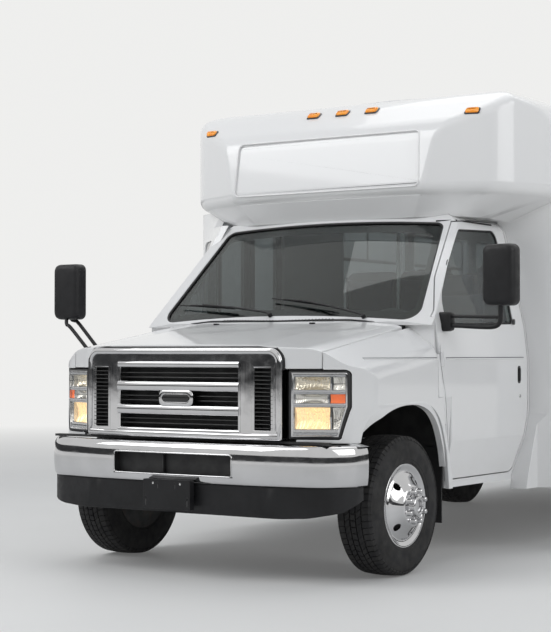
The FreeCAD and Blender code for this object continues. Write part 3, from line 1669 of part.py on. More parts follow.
def make_wipers():
    """Two arms lying on the windscreen's foot, from pivots on the cowl."""
    arms = []
    foot = V(0, WINDSCREEN_FOOT[0] + front_axle, WINDSCREEN_FOOT[1])
    head = V(0, WINDSCREEN_HEAD[0] + front_axle, WINDSCREEN_HEAD[1])
    along = (head - foot).normalize()
    outward = V(0, -along.z, along.y)

    def on_glass(x, up, off):
        sag = x * x / (2 * WINDSCREEN_BOW)
        return foot + V(x, 0, 0) + along * up + outward * (off - sag)

    for pivot, tip in ((560, 60), (-60, -640)):
        start, end = on_glass(pivot, 30, 22), on_glass(tip, 150, 22)
        arm = tube_run([start, end], 7)
        knob = Part.makeCylinder(16, 46, on_glass(pivot, 30, -16), outward)
        blade_a, blade_b = on_glass(tip + 300, 92, 12), on_glass(tip - 170, 170, 12)
        blade = tube_run([blade_a, blade_b], 5)
        link = tube_run([end, on_glass(tip + 60, 132, 12)], 6)
        arms.append(arm.fuse(knob).fuse(blade).fuse(link))
    keep = nodes["cab_shell"].Shape.fuse(nodes["cowl"].Shape).fuse(nodes["windscreen"].Shape)
    keep = keep.fuse(ahead_of_cowl())
    return Part.makeCompound([a.cut(keep) for a in arms])


node("wipers", make_wipers())


def make_dashboard():
    side = [
        (360.3, 1000, 30),
        (360.3, 1290, 20),
        (560, 1290, 60),
        (660, 1210, 50),
        (640, 1060, 60),
        (520, 1000, 40),
    ]
    return largest(prism_x(side, -870, 870).cut(nodes["cab_shell"].Shape).cut(left_door_hole))


node("dashboard", make_dashboard())


def make_steering_wheel():
    centre = V(495, 800 + front_axle, 1262)
    lean = V(0, -math.cos(math.radians(28)), -math.sin(math.radians(28)))
    rim = Part.makeTorus(185, 13, centre, lean)
    hub = Part.makeCylinder(48, 36, centre - lean * 10, lean)
    column = Part.makeCylinder(26, 330, centre, lean)
    wheel = rim.fuse(hub).fuse(column)
    side = V(1, 0, 0)
    up = side.cross(lean)
    for angle in (0, 180, 270):
        turn = math.radians(angle)
        out = side * math.cos(turn) + up * math.sin(turn)
        wheel = wheel.fuse(Part.makeCylinder(9, 185, centre, out))
    return wheel.cut(nodes["dashboard"].Shape).removeSplitter()


node("steering_wheel", make_steering_wheel())


def seat(x0, x1, station, base, leg_x, leg_bottom):
    """One bench: cushion, raked back and a leg on the aisle side."""
    cushion_low, cushion_top = base + 300, base + 430
    side = [
        (station, cushion_low, 30),
        (station, cushion_top, 50),
        (station + 400, cushion_top - 12, 20),
        (station + 490, cushion_top + 600, 36),
        (station + 580, cushion_top + 600, 36),
        (station + 500, cushion_low, 40),
    ]
    form = prism_x(side, x0, x1)
    leg = slab(leg_x - 30, leg_x + 30, station + 120, station + 380, leg_bottom, cushion_low + 20)
    return form.fuse(leg)


def make_seats():
    benches = []
    edge = half_body - S["wall"] - S["seat_gap"]
    floor = S["floor_top"] + S["seat_gap"]
    for i in range(6):
        station = 1650 + i * S["seat_pitch"]
        benches.append(seat(edge - seat_width, edge, station, S["floor_top"], edge - seat_width + 60, floor))
    for i in range(5):
        station = 1650 + (i + 1) * S["seat_pitch"]
        inner = -edge + seat_width
        benches.append(seat(-edge, inner, station, S["floor_top"], inner - 60, floor))
    cab_floor = S["cab_floor_top"] + S["seat_gap"]
    benches.append(seat(250, 740, 940, 640, 495, cab_floor))
    return Part.makeCompound(benches)


node("seats", make_seats())

# Check every object, then write each piece to its own file
doc.recompute()
for item in doc.Objects:
    bad = [s for s in item.State if s in ("Invalid", "Error")]
    if bad:
        raise RuntimeError(f"{item.Name} is {bad}")
os.makedirs("parts", exist_ok=True)
faulty = []
for label, item in nodes.items():
    shape = item.Shape
    if shape.isNull() or not shape.isValid() or not shape.Solids:
        faulty.append(label)
        continue
    shape.exportStep(f"parts/{label}.step")
    print(f"{label:22s} {len(shape.Solids):3d} solids {shape.Volume / 1e9:8.4f} m3")
if faulty:
    raise RuntimeError(f"these aren't valid solids: {faulty}")
print("bodies written:", len(nodes), "front axle at", front_axle, "rear axle at", rear_axle)
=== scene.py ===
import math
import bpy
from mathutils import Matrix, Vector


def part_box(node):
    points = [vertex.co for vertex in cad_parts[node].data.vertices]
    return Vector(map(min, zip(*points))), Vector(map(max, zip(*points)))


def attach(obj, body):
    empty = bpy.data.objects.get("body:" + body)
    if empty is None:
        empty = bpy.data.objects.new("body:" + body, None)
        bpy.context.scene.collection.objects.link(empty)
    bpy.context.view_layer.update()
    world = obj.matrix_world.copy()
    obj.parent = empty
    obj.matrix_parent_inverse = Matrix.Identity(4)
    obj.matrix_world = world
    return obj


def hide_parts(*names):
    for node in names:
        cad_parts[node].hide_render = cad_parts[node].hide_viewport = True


bl_info = {
    "name": "Minibus",
    "version": (1, 0, 0),
    "blender": (4, 5, 0),
    "location": "View3D > Sidebar > Minibus",
    "description": "Dresses the minibus: paint, glass, lamps, chrome, tyres, seats and trim",
    "category": "Object",
}

from contextlib import contextmanager
from functools import lru_cache

import bmesh
import bpy
from bpy.props import FloatProperty, FloatVectorProperty, IntProperty, PointerProperty
from mathutils import Matrix, Vector
from mathutils.bvhtree import BVHTree

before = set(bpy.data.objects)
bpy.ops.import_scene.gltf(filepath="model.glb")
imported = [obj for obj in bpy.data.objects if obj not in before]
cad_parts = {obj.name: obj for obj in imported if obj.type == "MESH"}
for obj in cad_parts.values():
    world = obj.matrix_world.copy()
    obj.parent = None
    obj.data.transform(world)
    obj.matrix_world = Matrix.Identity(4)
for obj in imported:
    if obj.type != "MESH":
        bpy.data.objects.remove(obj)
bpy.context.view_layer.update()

# Places shared with the frame. A station is a distance in millimetres behind the front axle.
BODY = "minibus_body"


def middle_of(node):
    low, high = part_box(node)
    return (low + high) / 2


FRONT_AXLE = middle_of("tyre_front_left").y
REAR_AXLE = middle_of("tyres_rear_left").y
AXLE_HEIGHT = middle_of("tyre_front_left").z
MM = 0.001


def spot(x, station, height):
    """A point in metres, from millimetres."""
    return Vector((x * MM, FRONT_AXLE + station * MM, height * MM))


# Sizes and colours that a user may change


def length(name, value, about):
    return FloatProperty(name=name, default=value, subtype="DISTANCE", unit="LENGTH", description=about)


def colour(name, value, about):
    return FloatVectorProperty(
        name=name, default=value, subtype="COLOR", size=3, min=0, max=1, description=about
    )


class MinibusColours(bpy.types.PropertyGroup):
    body: colour("Body paint", (0.80, 0.80, 0.80), "Gloss paint of the panels")
    glass: colour("Windscreen tint", (0.37, 0.43, 0.42), "Tint of the cab glass")
    dark_glass: colour("Body glass tint", (0.16, 0.17, 0.18), "Tint of the passengers' windows")
    chrome: colour("Chrome", (0.58, 0.58, 0.59), "Plated bumper, grille and wheel covers")
    plastic: colour("Black plastic", (0.010, 0.010, 0.011), "Grained plastic of mirrors and valance")
    amber: colour("Amber lens", (1.0, 0.30, 0.02), "Lenses of the marker and turn lamps")
    red: colour("Red lens", (0.55, 0.01, 0.01), "Lenses of the tail lamps")
    tyre: colour("Tyre rubber", (0.014, 0.014, 0.015), "Rubber of the tyres")
    seat: colour("Seat cloth", (0.06, 0.07, 0.11), "Woven cloth of the seats")
    floor: colour("Studio floor", (0.78, 0.78, 0.77), "Pale floor under the minibus")


class MinibusSizes(bpy.types.PropertyGroup):
    tread_pitches: IntProperty(name="Tread pitches", default=66, min=20, description="Blocks round a tyre")
    tread_depth: length("Tread depth", 0.010, "Depth of the grooves in the tread")
    lug_nuts: IntProperty(name="Lug nuts", default=8, min=4, description="Nut covers on each wheel")
    seal: length("Seal radius", 0.007, "Radius of the rubber seals round the glass")
    seat_voxel: length("Seat voxel", 0.016, "Mesh size of the padded seats")
    lens: FloatProperty(name="Lens", default=94.49, description="Camera lens in millimetres")


# Mesh helpers


def linked(name, mesh):
    made = bpy.data.objects.new(name, mesh)
    bpy.context.scene.collection.objects.link(made)
    return made


def meshed(name, points, faces=(), edges=()):
    mesh = bpy.data.meshes.new(name)
    mesh.from_pydata([tuple(p) for p in points], list(edges), [tuple(f) for f in faces])
    mesh.update()
    return linked(name, mesh)


@contextmanager
def opened(piece):
    """Lends a piece's mesh for edits and writes it back."""
    work = bmesh.new()
    work.from_mesh(piece.data)
    yield work
    work.to_mesh(piece.data)
    work.free()


def tidied(piece, merge=1e-5):
    """Merges doubles and turns every face outwards."""
    with opened(piece) as work:
        bmesh.ops.remove_doubles(work, verts=work.verts, dist=merge)
        bmesh.ops.recalc_face_normals(work, faces=work.faces)
    return piece


def plain(piece):
    """Turns a piece and its modifiers into a plain mesh."""
    graph = bpy.context.evaluated_depsgraph_get()
    mesh = bpy.data.meshes.new_from_object(piece.evaluated_get(graph), depsgraph=graph)
    piece.modifiers.clear()
    piece.data = mesh
    return piece


def modifier(piece, kind, **settings):
    step = piece.modifiers.new(kind, kind)
    for key, value in settings.items():
        setattr(step, key, value)
    return step


def modified(piece, kind, **settings):
    """Adds a modifier and keeps the result as a plain mesh."""
    modifier(piece, kind, **settings)
    return plain(piece)


def bevelled(piece, width, segments=2):
    """Rounds a piece's hard edges. The width is in metres."""
    corner = math.radians(35)
    return modified(piece, "BEVEL", width=width, segments=segments, limit_method="ANGLE", angle_limit=corner)


def thickened(piece, depth):
    return modified(piece, "SOLIDIFY", thickness=depth, offset=-1)


def combined(piece, operation, tools):
    """Joins tools to a piece or cuts them from it, and removes them."""
    for tool in tools:
        modified(piece, "BOOLEAN", operation=operation, solver="EXACT", object=tool)
        bpy.data.objects.remove(tool)
    return piece


def together(name, pieces):
    """One piece from several. Their materials are given later."""
    work = bmesh.new()
    for piece in pieces:
        work.from_mesh(piece.data)
        bpy.data.objects.remove(piece)
    mesh = bpy.data.meshes.new(name)
    work.to_mesh(mesh)
    work.free()
    return linked(name, mesh)


def moved(piece, matrix):
    piece.data.transform(matrix)
    if matrix.determinant() < 0:
        piece.data.flip_normals()
    return piece


def across(piece):
    """A copy of a piece on the other side of the vehicle."""
    return moved(linked(piece.name + "_twin", piece.data.copy()), Matrix.Scale(-1, 4, (1, 0, 0)))


FINISHES = {}
GROWTHS = {}
# slots, and the finishes that fill them
SLOT_FINISHES = {
    "white_paint": ("gloss_paint",),
    "black_plastic": ("glass_border", "grained_plastic", "gloss_black", "dark_insert", "seal_rubber"),
    "chrome": ("bright_chrome", "brushed_bright", "mirror_glass"),
    "black_frame": ("black_alloy",),
    "trim_grey": ("moulded_grey",),
    "frame_steel": ("frame_paint",),
    "tank_steel": ("dull_steel",),
    "tyre": ("tyre_rubber",),
    "seat_fabric": ("seat_cloth",),
    "lamp_amber": ("amber_lens",),
    "lamp_red": ("red_lens",),
    "lamp_clear": ("lamp_facets", "lamp_bowl", "bowl_painted_glow", "lamp_cover", "amber_painted_glow", "clear_reverse"),
}
SLOTS = {finish: slot for slot, finishes in SLOT_FINISHES.items() for finish in finishes}


def settled(piece, finish, body=BODY, replaces=(), crisp=40, slot=None):
    """Gives a finished piece its material, its smoothing and its place in the frame. Edges sharper than
    crisp degrees stay hard. A piece whose normals are already weighted has crisp of 0."""
    mesh = piece.data
    mesh.materials.clear()
    mesh.materials.append(FINISHES[finish])
    for face in mesh.polygons:
        face.use_smooth = True
        face.material_index = 0
    if crisp:
        mesh.set_sharp_from_angle(angle=math.radians(crisp))
    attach(piece, body)
    if replaces:
        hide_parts(*replaces)
    return piece


def by_finish(name, pieces, node, clear_crisp=40):
    """One piece for each finish in a table of lists. The first stands for the CAD node."""
    for number, (finish, parts) in enumerate(pieces.items()):
        crisp = clear_crisp if SLOTS[finish] == "lamp_clear" else 40
        settled(together(f"{name}_{finish}", parts), finish, replaces=() if number else [node], crisp=crisp)


def rounded(corners, bend=6, run=1):
    """Points round a closed outline. Each corner is (u, v) or (u, v, radius)."""
    legs = []
    count = len(corners)
    for i, corner in enumerate(corners):
        here = Vector(corner[:2])
        radius = corner[2] if len(corner) > 2 else 0
        before = (Vector(corners[i - 1][:2]) - here).normalized()
        after = (Vector(corners[(i + 1) % count][:2]) - here).normalized()
        if radius <= 0:
            legs.append([here])
            continue
        half = before.angle(after) / 2
        centre = here + (before + after).normalized() * (radius / math.sin(half))
        start = here + before * (radius / math.tan(half)) - centre
        end = here + after * (radius / math.tan(half)) - centre
        turn = start.angle_signed(end)
        legs.append([centre + Matrix.Rotation(-turn * k / bend, 2) @ start for k in range(bend + 1)])
    points = []
    for i, leg in enumerate(legs):
        points += leg
        following = legs[(i + 1) % count][0]
        points += [leg[-1].lerp(following, k / run) for k in range(1, run)]
    return points


def softened(node, width, more=(), less=()):
    """A copy of a CAD node with its hard edges rounded by width millimetres, to stand for it. More pieces
    are joined to it and less are cut from it before that."""
    merge = 2e-5
    piece = tidied(linked(node + "_dressed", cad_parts[node].data.copy()), merge)
    combined(piece, "UNION", more)
    combined(piece, "DIFFERENCE", less)
    with opened(piece) as work:
        bmesh.ops.remove_doubles(work, verts=work.verts, dist=merge)
        bmesh.ops.dissolve_limit(work, angle_limit=math.radians(1.2), verts=work.verts, edges=work.edges)
    modifier(piece, "BEVEL", width=width * MM, segments=2, limit_method="ANGLE", angle_limit=math.radians(28),
             use_clamp_overlap=False)
    for face in piece.data.polygons:
        face.use_smooth = True
    return modified(piece, "WEIGHTED_NORMAL", weight=90)


def grown(corners, by):
    """An outline moved outwards by a distance."""
    count = len(corners)
    area = sum(
        corners[i][0] * corners[(i + 1) % count][1] - corners[(i + 1) % count][0] * corners[i][1]
        for i in range(count)
    )
    sign = 1 if area > 0 else -1
    out = []
    for i, corner in enumerate(corners):
        here = Vector(corner[:2])
        radius = corner[2] if len(corner) > 2 else 0
        into = (here - Vector(corners[i - 1][:2])).normalized()
        away = (Vector(corners[(i + 1) % count][:2]) - here).normalized()
        first = Vector((into.y, -into.x)) * sign
        second = Vector((away.y, -away.x)) * sign
        move = (first + second) * (by / (1 + first.dot(second)))
        bend = into.x * away.y - into.y * away.x
        wider = radius + by if bend * sign > 0 else radius - by
        out.append((here.x + move.x, here.y + move.y, max(wider, 1) if radius else 0))
    return out


def pane(u0, u1, v0, v1, radius):
    """The corners of a rectangle with round corners."""
    return [(u0, v0, radius), (u1, v0, radius), (u1, v1, radius), (u0, v1, radius)]


def mirrored(half):
    """Both sides of an outline whose right half runs from its bottom to its top."""
    return list(half) + [(-c[0],) + tuple(c[1:]) for c in reversed(half) if abs(c[0]) > 0.01]


def prism(name, corners, near, far, place):
    """A closed block between two levels of one flat outline. Place gives a point's spot at a level."""
    outline = rounded(corners)
    count = len(outline)
    points = [place(p, level) for level in (near, far) for p in outline]
    faces = [(i, (i + 1) % count, count + (i + 1) % count, count + i) for i in range(count)]
    faces += [tuple(reversed(range(count))), tuple(range(count, 2 * count))]
    return tidied(meshed(name, points, faces))


def side_plate(name, corners, x0, x1):
    """A block whose outline is seen from the side: corners are (station, height)."""
    return prism(name, corners, x0, x1, lambda p, x: spot(x, p.x, p.y))


def front_plate(name, corners, a0, a1):
    """A block whose outline is seen from the front: corners are (x, height)."""
    return prism(name, corners, a0, a1, lambda p, a: spot(p.x, a, p.y))


def block(name, x0, x1, a0, a1, z0, z1, soft=0.0):
    corners = [(x0, a0), (x1, a0), (x1, a1), (x0, a1)]
    piece = prism(name, corners, z0, z1, lambda p, z: spot(p.x, p.y, z))
    return bevelled(piece, soft * MM) if soft else piece


def lattice(rows, count, closed=True, round_again=False):
    """Faces between rows of count points each."""
    faces = []
    for k in range(rows if round_again else rows - 1):
        following = (k + 1) % rows
        for i in range(count if closed else count - 1):
            j = (i + 1) % count
            faces.append((k * count + i, k * count + j, following * count + j, following * count + i))
    return faces


def band(name, loops, caps=False):
    """A skin through closed loops that all have the same number of points."""
    count = len(loops[0])
    faces = lattice(len(loops), count)
    if caps:
        faces.append(tuple(reversed(range(count))))
        faces.append(tuple(range((len(loops) - 1) * count, len(loops) * count)))
    return meshed(name, [p for loop in loops for p in loop], faces)


def turned(name, profile, centre, steps=96, closed=False, axis="X"):
    """A profile of (along, radius) in millimetres, turned about an axis through centre."""
    points = []
    for k in range(steps):
        angle = 2 * math.pi * k / steps
        for along, radius in profile:
            point = [radius * MM * math.cos(angle), radius * MM * math.sin(angle)]
            point.insert("XYZ".index(axis), along * MM)
            points.append(centre + Vector(point))
    return tidied(meshed(name, points, lattice(steps, len(profile), closed, True)))


def smoothed(points, steps=8):
    """A smooth line through points."""
    count = len(points)
    out = []
    for i in range(count - 1):
        p0 = points[i - 1] if i else points[0]
        p1, p2 = points[i], points[i + 1]
        p3 = points[i + 2] if i + 2 < count else points[-1]
        for k in range(steps):
            t = k / steps
            a = -0.5 * p0 + 1.5 * p1 - 1.5 * p2 + 0.5 * p3
            b = p0 - 2.5 * p1 + 2 * p2 - 0.5 * p3
            c = 0.5 * (p2 - p0)
            out.append(((a * t + b) * t + c) * t + p1)
    return out + [points[-1].copy()]


# Where rays towards the CAD surfaces start, in millimetres: a station, an x and a height
AHEAD = -900
ASIDE = 1300
ABOVE = 1600


@lru_cache(maxsize=None)
def skin_of(*nodes):
    """A search tree over the surfaces of CAD nodes."""
    points, faces = [], []
    for name in nodes:
        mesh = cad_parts[name].data
        base = len(points)
        points += [v.co.copy() for v in mesh.vertices]
        faces += [[base + i for i in face.vertices] for face in mesh.polygons]
    return BVHTree.FromPolygons(points, faces)


def met(nodes, origin, direction, lift=0.0):
    """Where a ray from a point meets CAD nodes, raised from them by lift metres, or None."""
    direction = Vector(direction)
    place, normal, _, _ = skin_of(*nodes).ray_cast(origin, direction)
    if place is None:
        return None
    if normal.dot(direction) > 0:
        normal = -normal
    return place + normal * lift


def dropped(nodes, origin, direction, lift=0.0):
    """Where a ray from a point meets CAD nodes. It has to meet them."""
    place = met(nodes, origin, direction, lift)
    if place is None:
        raise RuntimeError(f"nothing under {tuple(origin)} along {tuple(direction)}")
    return place


def from_front(x, height, *nodes):
    return dropped(nodes, spot(x, AHEAD, height), (0, 1, 0))


def from_left(station, height, *nodes, lift=0.0):
    return dropped(nodes, spot(ASIDE, station, height), (-1, 0, 0), lift)


def from_above(x, station, *nodes):
    return dropped(nodes, spot(x, station, ABOVE), (0, 0, -1))


# Geometry node trees: a tube on a path, a ring, and rows of like parts


class Wiring:
    """A node tree that grows step by step."""

    def __init__(self, tree):
        self.tree = tree

    def add(self, kind, links=(), **settings):
        """Adds a node, sets or links its inputs, and returns its outputs."""
        made = self.tree.nodes.new(kind)
        for key, value in settings.items():
            setattr(made, key, value)
        for socket, source in dict(links).items():
            if isinstance(source, bpy.types.NodeSocket):
                self.tree.links.new(source, made.inputs[socket])
            else:
                made.inputs[socket].default_value = source
        return made.outputs


class Growth(Wiring):
    """A geometry node tree with named inputs. It ends in Realize Instances and Set Material."""

    def __init__(self, name, *sizes):
        super().__init__(bpy.data.node_groups.new(name, "GeometryNodeTree"))
        sockets = self.tree.interface
        for label, kind, value in (("Geometry", "Geometry", None), *sizes, ("Finish", "Material", None)):
            socket = sockets.new_socket(label, in_out="INPUT", socket_type="NodeSocket" + kind)
            if value is not None:
                socket.default_value = value
        sockets.new_socket("Geometry", in_out="OUTPUT", socket_type="NodeSocketGeometry")
        self.given = self.tree.nodes.new("NodeGroupInput").outputs

    def copies(self, count, step, part, **links):
        """Copies of a part at each step of a line."""
        dots = self.add("GeometryNodeMeshLine", {"Count": self.given[count], "Offset": step})[0]
        return self.add("GeometryNodeInstanceOnPoints", {"Points": dots, "Instance": part, **links})[0]

    def end(self, geometry):
        real = self.add("GeometryNodeRealizeInstances", {"Geometry": geometry})[0]
        painted = self.add("GeometryNodeSetMaterial", {"Geometry": real, "Material": self.given["Finish"]})[0]
        self.add("NodeGroupOutput", {0: painted})
        return self


def grow(piece, growth, finish, **sizes):
    """Runs a tree on a piece and keeps the result as a plain mesh. An underscore stands for a space."""
    tree = GROWTHS[growth].tree
    step = modifier(piece, "NODES", node_group=tree)
    given = {label.replace("_", " "): value for label, value in sizes.items()}
    given["Finish"] = FINISHES[finish]
    for item in tree.interface.items_tree:
        if item.in_out == "INPUT" and item.name in given:
            step[item.identifier] = given[item.name]
    return plain(piece)


def tube_growth():
    tube = Growth("tube_on_a_path", ("Radius", "Float", 0.01), ("Sides", "Int", 12))
    line = tube.add("GeometryNodeMeshToCurve", {"Mesh": tube.given["Geometry"]})[0]
    circle = {"Resolution": tube.given["Sides"], "Radius": tube.given["Radius"]}
    ring = tube.add("GeometryNodeCurvePrimitiveCircle", circle)[0]
    skin = tube.add("GeometryNodeCurveToMesh", {"Curve": line, "Profile Curve": ring, "Fill Caps": True})[0]
    return tube.end(skin)


def ring_growth():
    ring = Growth("ring_about_an_axle", ("Count", "Int", 8), ("First Turn", "Float", 0.0),
                  ("Centre", "Vector", None))
    given = ring.given
    whole = ring.add("ShaderNodeMath", {0: 2 * math.pi, 1: given["Count"]}, operation="DIVIDE")[0]
    index = ring.add("GeometryNodeInputIndex")[0]
    steps = {0: index, 1: whole, 2: given["First Turn"]}
    turn = ring.add("ShaderNodeMath", steps, operation="MULTIPLY_ADD")[0]
    angles = ring.add("ShaderNodeCombineXYZ", {"X": turn})[0]
    parts = ring.copies("Count", (0, 0, 0), given["Geometry"], Rotation=angles)
    return ring.end(ring.add("GeometryNodeTransform", {"Geometry": parts, "Translation": given["Centre"]})[0])


def rows_growth():
    rows = Growth("rows_of_parts", ("Count", "Int", 2), ("Step", "Vector", None), ("Rows", "Int", 1),
                  ("Row Step", "Vector", None))
    row = rows.copies("Count", rows.given["Step"], rows.given["Geometry"])
    return rows.end(rows.copies("Rows", rows.given["Row Step"], row))


def wire(name, points, radius, finish, closed=False, sides=8):
    """A round bar along a path, not yet settled. The radius is in metres."""
    count = len(points)
    edges = [(i, (i + 1) % count) for i in range(count if closed else count - 1)]
    piece = meshed(name, points, edges=edges)
    return tidied(grow(piece, "tube", finish, Radius=radius, Sides=sides))


def tube(name, points, radius, finish, body=BODY, closed=False, sides=12, **more):
    """A seal, pipe or rail along a path, in its place in the frame."""
    return settled(wire(name, points, radius, finish, closed, sides), finish, body, crisp=50, **more)


# Materials


class Finish(Wiring):
    """A procedural material on Object coordinates, built up step by step. A step names the pattern that it
    follows, with that pattern's own values after it."""

    def __init__(self, name, base, roughness, metallic=0.0, **sockets):
        self.material = bpy.data.materials.new(name)
        self.material.use_nodes = True
        super().__init__(self.material.node_tree)
        self.shader = self.tree.nodes["Principled BSDF"]
        self.base = (*base, 1.0)
        self.shader.inputs["Base Color"].default_value = self.base
        self.shader.inputs["Roughness"].default_value = roughness
        self.shader.inputs["Metallic"].default_value = metallic
        for label, value in sockets.items():
            self.shader.inputs[label.replace("_", " ").title().replace("Ior", "IOR")].default_value = value
        self.where = self.tree.nodes.new("ShaderNodeTexCoord").outputs["Object"]
        self.colour = None
        self.normal = None
        FINISHES[name] = self.material

    def into(self, value, label):
        self.tree.links.new(value, self.shader.inputs[label])
        return self

    def noise(self, scale, detail=4.0, stretch=(1, 1, 1), bottom=0.35, top=0.65):
        """Noise from 0 to 1, with the pattern pulled along an axis where stretch is under 1."""
        place = self.add("ShaderNodeMapping", {"Vector": self.where, "Scale": stretch})[0]
        cloud = self.add("ShaderNodeTexNoise", {"Vector": place, "Scale": scale, "Detail": detail})[0]
        return self.add("ShaderNodeMapRange", {"Value": cloud, "From Min": bottom, "From Max": top})[0]

    def cells(self, scale):
        return self.add("ShaderNodeTexVoronoi", {"Vector": self.where, "Scale": scale})["Distance"]

    def waves(self, scale, direction="X"):
        links = {"Vector": self.where, "Scale": scale, "Distortion": 0.0}
        return self.add("ShaderNodeTexWave", links, bands_direction=direction)["Fac"]

    def darker_low_patches(self):
        """Patches of darker tint, thicker towards the ground."""
        z = self.add("ShaderNodeSeparateXYZ", {"Vector": self.where})["Z"]
        low = self.add("ShaderNodeMapRange", {"Value": z, "From Min": 1.1, "From Max": 0.38})[0]
        return self.times(low, self.noise(9.0, 8.0, bottom=0.3, top=0.75))

    def times(self, a, b):
        return self.add("ShaderNodeMath", {0: a, 1: b}, operation="MULTIPLY")[0]

    def tint(self, other, pattern, *values, share=1.0, **more):
        """Mixes another colour in where the pattern is high."""
        amount = getattr(self, pattern)(*values, **more)
        if share < 1:
            amount = self.times(amount, share)
        self.add("ShaderNodeMix", data_type="RGBA")
        mix = self.tree.nodes[-1]
        if self.colour is None:
            mix.inputs[6].default_value = self.base
        else:
            self.tree.links.new(self.colour, mix.inputs[6])
        mix.inputs[7].default_value = (*other, 1.0)
        self.tree.links.new(amount, mix.inputs[0])
        self.colour = mix.outputs[2]
        return self.into(self.colour, "Base Color")

    def rough(self, low, high, pattern, *values, **more):
        amount = getattr(self, pattern)(*values, **more)
        links = {"Value": amount, "To Min": low, "To Max": high}
        return self.into(self.add("ShaderNodeMapRange", links)[0], "Roughness")

    def relief(self, strength, distance, pattern, *values, **more):
        height = getattr(self, pattern)(*values, **more)
        links = {"Height": height, "Strength": strength, "Distance": distance}
        if self.normal is not None:
            links["Normal"] = self.normal
        self.normal = self.add("ShaderNodeBump", links)[0]
        return self.into(self.normal, "Normal")


def lighter(base, by):
    return tuple(min(1.0, c * by) for c in base)


